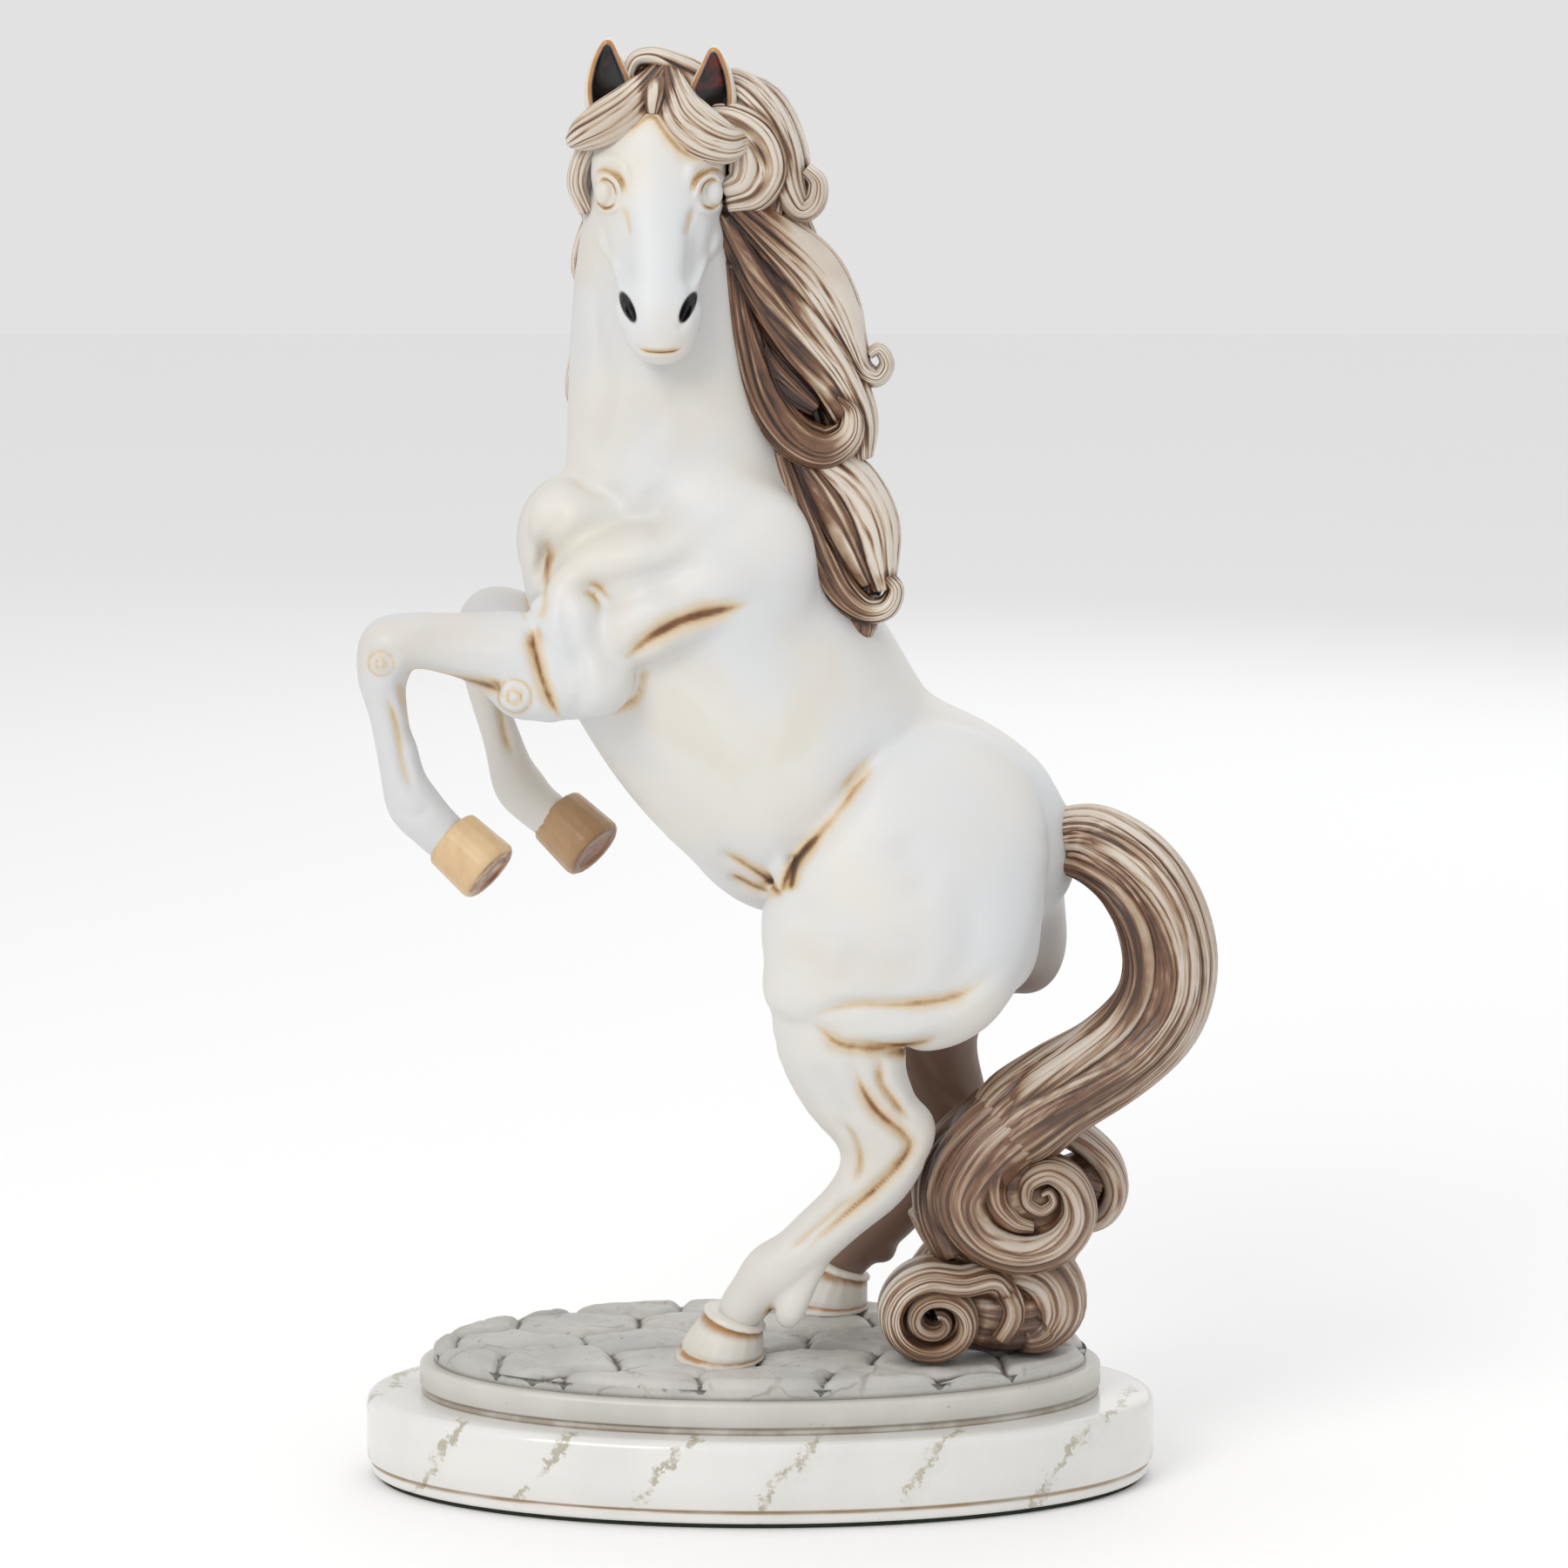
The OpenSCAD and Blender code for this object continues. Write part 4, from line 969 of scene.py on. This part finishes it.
def lay_cobbles(material):
    """The ground: irregular rounded stones on an oval bed, in a fine height field closed underneath."""
    low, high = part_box("cobbled_ground")
    half_x, half_y = half_size(low, high)
    foot = low.z / MM - GROUND
    random = np.random.default_rng(11)
    pitch_x, pitch_y = 35.0, 20.0
    seeds = np.array([[(column + 0.5 * (row % 2)) * pitch_x + random.uniform(-7,7),
        row * pitch_y + random.uniform(-3,3)] for row in range(-4,5) for column in range(-5,6)])
    rings, sides = ((110,480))
    radius = np.concatenate([np.linspace(0.01, 0.95, rings - 14), np.linspace(0.955,1.0,14)])
    theta = circle(sides)
    grid_x = (half_x * radius[:, None] * np.cos(theta)).ravel()
    grid_y = (half_y * radius[:, None] * np.sin(theta)).ravel()
    flat = np.stack([grid_x, grid_y, np.zeros(len(grid_x))], axis=1)
    wobble_x = grid_x + 5 * (value_noise(flat, 13, 1) - 0.5) + 1.6 * (value_noise(flat, 4, 2) - 0.5)
    wobble_y = grid_y + 5 * (value_noise(flat, 13, 3) - 0.5) + 1.6 * (value_noise(flat, 4, 4) - 0.5)
    stretch = pitch_x / pitch_y * 0.86
    d = np.sqrt((wobble_x[:, None] - seeds[None, :, 0]) ** 2 + ((wobble_y[:, None] - seeds[None, :, 1])
        * stretch) ** 2)
    order = np.argsort(d, axis=1)[:, :2]
    first, second = (np.take_along_axis(d, order, axis=1)).T
    gap = (second - first) * 0.5
    rim = (1 - np.tile(radius[:, None], (1, sides)).ravel()) * 60
    crown = 1 - np.exp(-(gap / 1.6) ** 1.2)
    level = random.uniform(-0.5, 0.3, len(seeds))[order[:, 0]]
    tilt = random.uniform(-0.012, 0.012, (len(seeds), 2))[order[:, 0]]
    offset = np.stack([grid_x, grid_y], axis=1) - seeds[order[:, 0]]
    height = (-2.6 + 3.0 * crown + (level + (tilt * offset).sum(axis=1)) * soft(gap, 0, 4) + 0.5
        * (value_noise(flat, 6, 5) - 0.5) + 0.32 * (value_noise(flat, 2.2, 6) - 0.5) + 0.16
        * (value_noise(flat, 0.9, 7) - 0.5))
    pits = soft(value_noise(flat, 1.9, 8), 0.78, 0.9) * soft(value_noise(flat, 9, 9), 0.45, 0.7)
    height -= 0.5 * pits
    height -= 2.4 * np.exp(-(rim / 1.3) ** 1.5)
    tail_x, tail_y = 70.0, -9.0
    near_tail = np.exp(-(((grid_x - tail_x) / 22) ** 2 + ((grid_y - tail_y) / 16) ** 2) ** 2)
    height = height * (1 - near_tail) + np.minimum(height, -0.6) * near_tail
    joint = np.clip(1.15 * np.exp(-(gap / 0.7) ** 1.2) + 0.6 * pits, 0, 1.3)
    upper = np.stack([grid_x, grid_y, height], axis=1)
    wall = [np.stack([half_x * np.cos(theta), half_y * np.sin(theta), np.full(sides, z)], axis=1)
        for z in (-2.6, (foot - 2.6) / 2, foot)]
    points = np.vstack([upper] + wall + [[[0, 0, float(height[:sides].mean())]], [[0, 0, foot]]])
    faces = [face[:1] + face[:0:-1] for face in loft_faces(rings + 3, sides)]
    joint = np.concatenate([joint, np.full(3 * sides + 2, 0.25)])
    finish_piece("cobble_stones", points, faces, ["cobbled_ground"], material,
        {"hollow": joint})


def felt_sheet(material):
    low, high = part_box("felt_pad")
    z0, z1 = low.z / MM, high.z / MM
    profile = rounded(0.2, z0, 0.35, "low", 3) + rounded(0.2, z1, 0.35, "high", 3) + [(6, z1)]
    turned_oval("felt_sheet", "felt_pad", profile, material)


# ---------------------------------------------------------------- materials

class Paint:
    """A node material with a few helpers, so that each finish below reads as a list."""

    def __init__(self, name):
        self.material = bpy.data.materials.new(name)
        self.material.use_nodes = True
        self.tree = self.material.node_tree
        self.shader = self.tree.nodes["Principled BSDF"]
        self.place = self.add("ShaderNodeTexCoord").outputs["Object"]

    def add(self, kind, **settings):
        node = self.tree.nodes.new(kind)
        for key, value in settings.items():
            setattr(node, key, value)
        return node

    def link(self, source, target):
        self.tree.links.new(source, target)

    def attribute(self, name):
        return self.add("ShaderNodeAttribute", attribute_name=name).outputs["Fac"]

    def tune(self, node, **values):
        """Sets a node's plain inputs; an underscore in a name stands for a space."""
        for key, value in values.items():
            node.inputs[key.replace("_", " ")].default_value = value

    def feed(self, socket, value):
        """Gives a socket a number, a colour or a link."""
        if isinstance(value, (int, float)):
            socket.default_value = value
        elif isinstance(value, tuple):
            socket.default_value = (*value, 1)
        else:
            self.link(value, socket)

    def noise(self, scale, detail=4.0, roughness=0.55, distortion=0.0, stretch=None, place=None):
        """Noise with a scale per metre; stretch multiplies the place first."""
        place = place or self.place
        if stretch:
            mapping = self.add("ShaderNodeMapping")
            self.tune(mapping, Scale=stretch)
            self.link(place, mapping.inputs["Vector"])
            place = mapping.outputs["Vector"]
        node = self.add("ShaderNodeTexNoise")
        self.link(place, node.inputs["Vector"])
        self.tune(node, Scale=scale, Detail=detail, Roughness=roughness, Distortion=distortion)
        return node.outputs["Fac"]

    def sum(self, a, b, operation="ADD"):
        node = self.add("ShaderNodeMath", operation=operation)
        for socket, value in zip(node.inputs, (a, b)):
            self.feed(socket, value)
        return node.outputs[0]

    def times(self, a, b):
        return self.sum(a, b, "MULTIPLY")

    def centred(self, source, middle, gain):
        """How far the source is from its middle value, times a gain."""
        return self.times(self.sum(source, middle, "SUBTRACT"), gain)

    def mix(self, factor, a, b):
        node = self.add("ShaderNodeMix", data_type="RGBA")
        for socket, value in ((node.inputs["Factor"], factor), (node.inputs[6], a), (node.inputs[7], b)):
            self.feed(socket, value)
        return node.outputs[2]

    def span(self, source, low, high, to_low=0.0, to_high=1.0):
        """The source's range from low to high, eased on to the range given."""
        node = self.add("ShaderNodeMapRange", interpolation_type="SMOOTHSTEP")
        self.link(source, node.inputs["Value"])
        self.tune(node, From_Min=low, From_Max=high, To_Min=to_low, To_Max=to_high)
        return node.outputs["Result"]

    def height(self, part):
        """The x, y or z of the place, in metres."""
        node = self.add("ShaderNodeSeparateXYZ")
        self.link(self.place, node.inputs[0])
        return node.outputs[part]

    def bump(self, source, strength, distance):
        node = self.add("ShaderNodeBump")
        self.tune(node, Strength=strength, Distance=distance)
        self.link(source, node.inputs["Height"])
        self.link(node.outputs["Normal"], self.shader.inputs["Normal"])

    def finish(self, colour, roughness, metallic=0.0, coat=0.0, coat_roughness=0.2):
        self.feed(self.shader.inputs["Base Color"], colour)
        self.feed(self.shader.inputs["Roughness"], roughness)
        self.tune(self.shader, Metallic=metallic, Coat_Weight=coat, Coat_Roughness=coat_roughness)
        return self.material


IVORY = (0.70,0.68,0.635)
COOL_IVORY = (0.65,0.66,0.67)
WARM_IVORY = (0.66,0.61,0.53)
OCHRE = (0.50,0.33,0.17)
UMBER = (0.20,0.085,0.03)
DARK = (0.035,0.015,0.008)


def body_paint():
    paint = Paint("body_patina")
    worn = paint.times(paint.attribute("hollow"), paint.span(paint.noise(55,4), 0.3, 0.68, 0.62, 1.15))
    hollow = paint.sum(worn, paint.centred(paint.noise(70,5), 0.5, 0.16))
    clean = paint.mix(paint.span(paint.noise(14,2), 0.42, 0.62), IVORY, COOL_IVORY)
    clean = paint.mix(paint.span(paint.noise(22, 3, distortion=0.4), 0.5, 0.72, 0, 0.6), clean,
        WARM_IVORY)
    warm = paint.mix(paint.span(hollow, 0.10, 0.34), clean, (0.66,0.56,0.42))
    warm = paint.mix(paint.span(hollow, 0.30, 0.60), warm, OCHRE)
    warm = paint.mix(paint.span(hollow, 0.52, 0.86), warm, UMBER)
    warm = paint.mix(paint.span(hollow, 0.88, 1.3), warm, DARK)
    colour = paint.mix(paint.attribute("dark"), warm, (0.006,0.005,0.005))
    # painted shade from the shade attribute, mixed toward a dark brown
    colour = paint.mix(paint.attribute("shade"), colour, (0.15,0.075,0.042))
    rough = paint.span(hollow, 0.2, 0.9, 0.5, 0.3)
    paint.bump(paint.noise(900,3), 0.03, 0.0003)
    return paint.finish(colour, rough, coat=0.03, coat_roughness=0.25)


def hair_paint():
    paint = Paint("hair_patina")
    strand = paint.add("ShaderNodeAttribute", attribute_name="strand").outputs["Vector"]
    streak = paint.noise(1.0, 3, 0.7, place=strand)
    wide_streak = paint.noise(0.35, 2, 0.6, place=strand)
    hollow = paint.sum(paint.attribute("hollow"), paint.centred(streak, 0.52, 0.95))
    hollow = paint.sum(hollow, paint.centred(wide_streak, 0.5, 0.45))
    clean = paint.mix(paint.span(paint.noise(35,3), 0.4, 0.65), (0.655,0.595,0.52), (0.54,0.465,0.385))
    warm = paint.mix(paint.span(hollow, 0.08, 0.30), clean, (0.42,0.30,0.20))
    warm = paint.mix(paint.span(hollow, 0.26, 0.48), warm, (0.17,0.08,0.04))
    warm = paint.mix(paint.span(hollow, 0.44, 0.80), warm, (0.03,0.013,0.008))
    # painted shade: the tail's lower part darkened toward the ground
    foot = paint.span(paint.height("Z"), 0.10, 0.20, 0.3, 0.0)
    tail_side = paint.span(paint.height("X"), 0.036, 0.05)
    colour = paint.mix(paint.times(foot, tail_side), warm, (0.22,0.13,0.085))
    paint.bump(streak, 0.5, 0.0006)
    return paint.finish(colour, paint.span(hollow, 0.2, 0.9, 0.42, 0.25), coat=0.1, coat_roughness=0.2)


def ear_paint():
    paint = Paint("ear_gilt")
    skin = paint.mix(paint.span(paint.noise(60,3), 0.4, 0.6), IVORY, WARM_IVORY)
    gold = paint.mix(paint.noise(300,3), (0.62,0.34,0.10), (0.36,0.10,0.03))
    colour = paint.mix(paint.span(paint.attribute("rim"), 0.25, 0.8), skin, gold)
    inside = paint.mix(paint.span(paint.noise(130, 3, distortion=0.6), 0.52, 0.68), (0.003,0.002,0.002),
        (0.10,0.010,0.006))
    colour = paint.mix(paint.attribute("inner"), colour, inside)
    return paint.finish(colour, 0.22, coat=0.08, coat_roughness=0.08)


def hoof_paint(name, light, deep):
    paint = Paint(name)
    colour = paint.mix(paint.span(paint.noise(120, 4, stretch=(1,1,0.3)), 0.35, 0.7), light, deep)
    edge = paint.span(paint.attribute("wall"), 0.66, 0.80)
    colour = paint.mix(paint.times(edge, paint.span(paint.noise(200,4), 0.35, 0.6, 0.35, 0.95)), colour,
        (0.20,0.07,0.035))
    band = paint.span(paint.attribute("wall"), 0.10, 0.02)
    colour = paint.mix(band, colour, (0.20,0.10,0.05))
    paint.bump(paint.noise(500,4), 0.08, 0.0004)
    return paint.finish(colour, paint.span(paint.noise(90,3), 0.3, 0.7, 0.34, 0.5), coat=0.08)


def hind_hoof_paint():
    paint = Paint("hoof_ivory")
    clean = paint.mix(paint.span(paint.noise(70,4), 0.35, 0.65), IVORY, WARM_IVORY)
    wall = paint.attribute("wall")
    line = paint.times(paint.span(wall, 0.64, 0.70), paint.span(wall, 0.82, 0.76))
    band = paint.times(paint.span(wall, 0.20, 0.28), paint.span(wall, 0.42, 0.32))
    marks = paint.sum(line, band, "MAXIMUM")
    colour = paint.mix(paint.times(marks, paint.span(paint.noise(150,3), 0.3, 0.5, 0.55, 1.0)), clean,
        (0.42,0.22,0.08))
    colour = paint.mix(paint.span(wall, 0.93, 1.0), colour, UMBER)
    return paint.finish(colour, 0.36, coat=0.1)


def marble_paint():
    paint = Paint("marble")
    base = paint.mix(paint.span(paint.noise(18,5,0.6), 0.35, 0.7), (0.77,0.755,0.73), (0.70,0.69,0.665))
    vein = paint.add("ShaderNodeTexWave", wave_type="BANDS", bands_direction="X")
    turn = paint.add("ShaderNodeMapping")
    paint.tune(turn, Rotation=(0,-0.62,0.3))
    paint.link(paint.place, turn.inputs["Vector"])
    paint.link(turn.outputs["Vector"], vein.inputs["Vector"])
    paint.tune(vein, Scale=11.5, Distortion=2.6, Detail=6.0, Detail_Scale=5.0, Detail_Roughness=0.72)
    thin = paint.span(vein.outputs["Fac"], 0.972, 0.998)
    broken = paint.span(paint.noise(90,5,0.75), 0.44, 0.56)
    colour = paint.mix(paint.times(paint.times(thin, broken), 0.75), base, (0.34,0.30,0.19))
    cloud = paint.times(paint.span(vein.outputs["Fac"], 0.80, 0.98),
        paint.span(paint.noise(26,4), 0.48, 0.66))
    colour = paint.mix(paint.times(cloud, 0.12), colour, (0.50,0.46,0.38))
    line_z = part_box("marble_base")[0].z + 0.0036
    away = paint.sum(paint.height("Z"), line_z, "SUBTRACT")
    line = paint.span(paint.sum(away, 0.0, "ABSOLUTE"), 0.0009, 0.0004)
    colour = paint.mix(paint.times(line, paint.span(paint.noise(60,3), 0.3, 0.6, 0.4, 0.8)), colour,
        (0.42,0.28,0.13))
    return paint.finish(colour, paint.span(paint.noise(40,3), 0.3, 0.7, 0.16, 0.26), coat=0.3,
        coat_roughness=0.08)


def step_paint():
    paint = Paint("step_stone")
    base = paint.mix(paint.span(paint.noise(24,4), 0.35, 0.7), (0.62,0.60,0.56), (0.54,0.52,0.475))
    specks = paint.span(paint.noise(420,3,0.7), 0.68, 0.74)
    colour = paint.mix(paint.times(specks, 0.7), base, (0.18,0.14,0.09))
    foot_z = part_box("base_step")[0].z
    foot = paint.span(paint.height("Z"), foot_z + 0.0024, foot_z + 0.0010)
    colour = paint.mix(paint.times(foot, paint.span(paint.noise(80,4), 0.35, 0.6, 0.3, 0.9)), colour,
        (0.33,0.27,0.20))
    paint.bump(paint.noise(300,4), 0.08, 0.0004)
    return paint.finish(colour, 0.34, coat=0.12, coat_roughness=0.2)


def cobble_paint():
    paint = Paint("cobbles")
    base = paint.mix(paint.span(paint.noise(30,5), 0.35, 0.7), (0.55,0.535,0.50), (0.42,0.41,0.385))
    grime = paint.span(paint.noise(130,6,0.7,0.8), 0.56, 0.70)
    colour = paint.mix(paint.times(grime, 0.55), base, (0.30,0.27,0.215))
    specks = paint.span(paint.noise(700,3,0.7), 0.66, 0.72)
    colour = paint.mix(paint.times(specks, 0.75), colour, (0.10,0.085,0.065))
    crack = paint.add("ShaderNodeTexVoronoi", feature="DISTANCE_TO_EDGE")
    bent = paint.add("ShaderNodeVectorMath", operation="ADD")
    spread = paint.add("ShaderNodeVectorMath", operation="SCALE")
    wander = paint.add("ShaderNodeTexNoise")
    wander.inputs["Scale"].default_value = 90
    paint.link(paint.place, wander.inputs["Vector"])
    paint.link(wander.outputs["Color"], spread.inputs[0])
    spread.inputs["Scale"].default_value = 0.012
    paint.link(paint.place, bent.inputs[0])
    paint.link(spread.outputs[0], bent.inputs[1])
    paint.link(bent.outputs[0], crack.inputs["Vector"])
    crack.inputs["Scale"].default_value = 46
    veins = paint.times(paint.span(crack.outputs["Distance"], 0.035, 0.004),
        paint.span(paint.noise(50,3), 0.5, 0.6))
    colour = paint.mix(paint.times(veins, 0.45), colour, (0.20,0.175,0.14))
    joint = paint.span(paint.attribute("hollow"), 0.25, 0.95)
    colour = paint.mix(joint, colour, (0.10,0.077,0.056))
    paint.bump(paint.noise(420,6,0.7), 0.35, 0.0006)
    return paint.finish(colour, paint.span(paint.noise(80,4), 0.3, 0.7, 0.36, 0.6), coat=0.05)


def felt_paint():
    paint = Paint("felt")
    colour = paint.mix(paint.noise(900,6,0.8), (0.012,0.018,0.011), (0.032,0.045,0.028))
    paint.bump(paint.noise(1500,6,0.8), 0.8, 0.0005)
    return paint.finish(colour, 0.95)


def steel_paint():
    paint = Paint("steel")
    colour = paint.mix(paint.noise(200, 5, stretch=(1,1,0.1)), (0.52,0.52,0.51), (0.38,0.38,0.39))
    paint.bump(paint.noise(1200, 3, stretch=(1,1,0.05)), 0.15, 0.0002)
    return paint.finish(colour, 0.32, metallic=1.0)


# ---------------------------------------------------------------- floor, light and camera

def light_up():
    floor_mesh = bpy.data.meshes.new("floor")
    reach = 4.0
    floor_mesh.from_pydata([(-reach, -reach, 0), (reach, -reach, 0), (reach, reach, 0),
        (-reach, reach, 0)], [], [(0,1,2,3)])
    paint = Paint("floor")
    floor_mesh.materials.append(paint.finish(paint.mix(paint.noise(3,2), (0.955,0.955,0.955),
        (0.965,0.965,0.965)), 0.95))
    floor = show("floor", floor_mesh)
    world = bpy.data.worlds.new("studio")
    world.use_nodes = True
    paint.tune(world.node_tree.nodes["Background"], Color=(1.0,1.0,1.0,1), Strength=0.76)
    bpy.context.scene.world = world
    middle = Vector((0.0,0.0,0.2))
    lamps = (("key", (-0.7,-1.1,1.15), 0.7, 8.4, (1.0,0.985,0.955)),
        ("fill", (1.3,-1.0,0.7), 1.2, 1.0, (0.93,0.96,1.0)), ("top", (0.1,0.1,1.5), 0.8, 2.4,
        (1.0,1.0,1.0)), ("back", (0.5,1.3,0.9), 1.2, 3.0, (0.96,0.98,1.0)))
    for name, place, size, power, colour in lamps:
        lamp = bpy.data.lights.new(name, "AREA")
        lamp.size, lamp.energy, lamp.color = size, power, colour
        aim(show(name, lamp), place, Vector(place) - middle)
    bpy.context.scene.view_settings.view_transform = "Standard"


def place_camera():
    """A long lens, a little above the horse and looking slightly down."""
    camera = bpy.data.cameras.new("camera")
    camera.lens, camera.sensor_width = 120.0, 36.0
    camera.clip_start, camera.clip_end = 0.05, 20
    pitch, distance = math.radians(9.5), 1.44
    target = Vector((0.0067,0.0,0.1966))
    back = Vector((0.0, -math.cos(pitch), math.sin(pitch)))
    holder = show("camera", camera)
    aim(holder, target + back * distance, back)
    bpy.context.scene.camera = holder


# ---------------------------------------------------------------- the statue

place_camera()
light_up()
body_finish = body_paint()
hair_finish = hair_paint()
cast_body(body_finish)
cast_head(body_finish)
cast_ears(ear_paint())
style_forelock(hair_finish)
style_mane(hair_finish)
style_far_mane(hair_finish)
style_tail(hair_finish)
# the second, darker tan is the far fore hoof's painted shade
shoe_hooves(hoof_paint("hoof_tan", (0.66,0.47,0.27), (0.56,0.37,0.19)),
    hoof_paint("hoof_tan_shaded", (0.42,0.26,0.13), (0.33,0.19,0.09)), hind_hoof_paint())
turn_plinth(marble_paint(), step_paint())
lay_cobbles(cobble_paint())
felt_sheet(felt_paint())
steel = steel_paint()
for node in frame["record"]["subparts"]:
    if node["material_slot"] == "steel":
        mesh = frame["nodes"][node["node"]].data
        mesh.materials.clear()
        mesh.materials.append(steel)
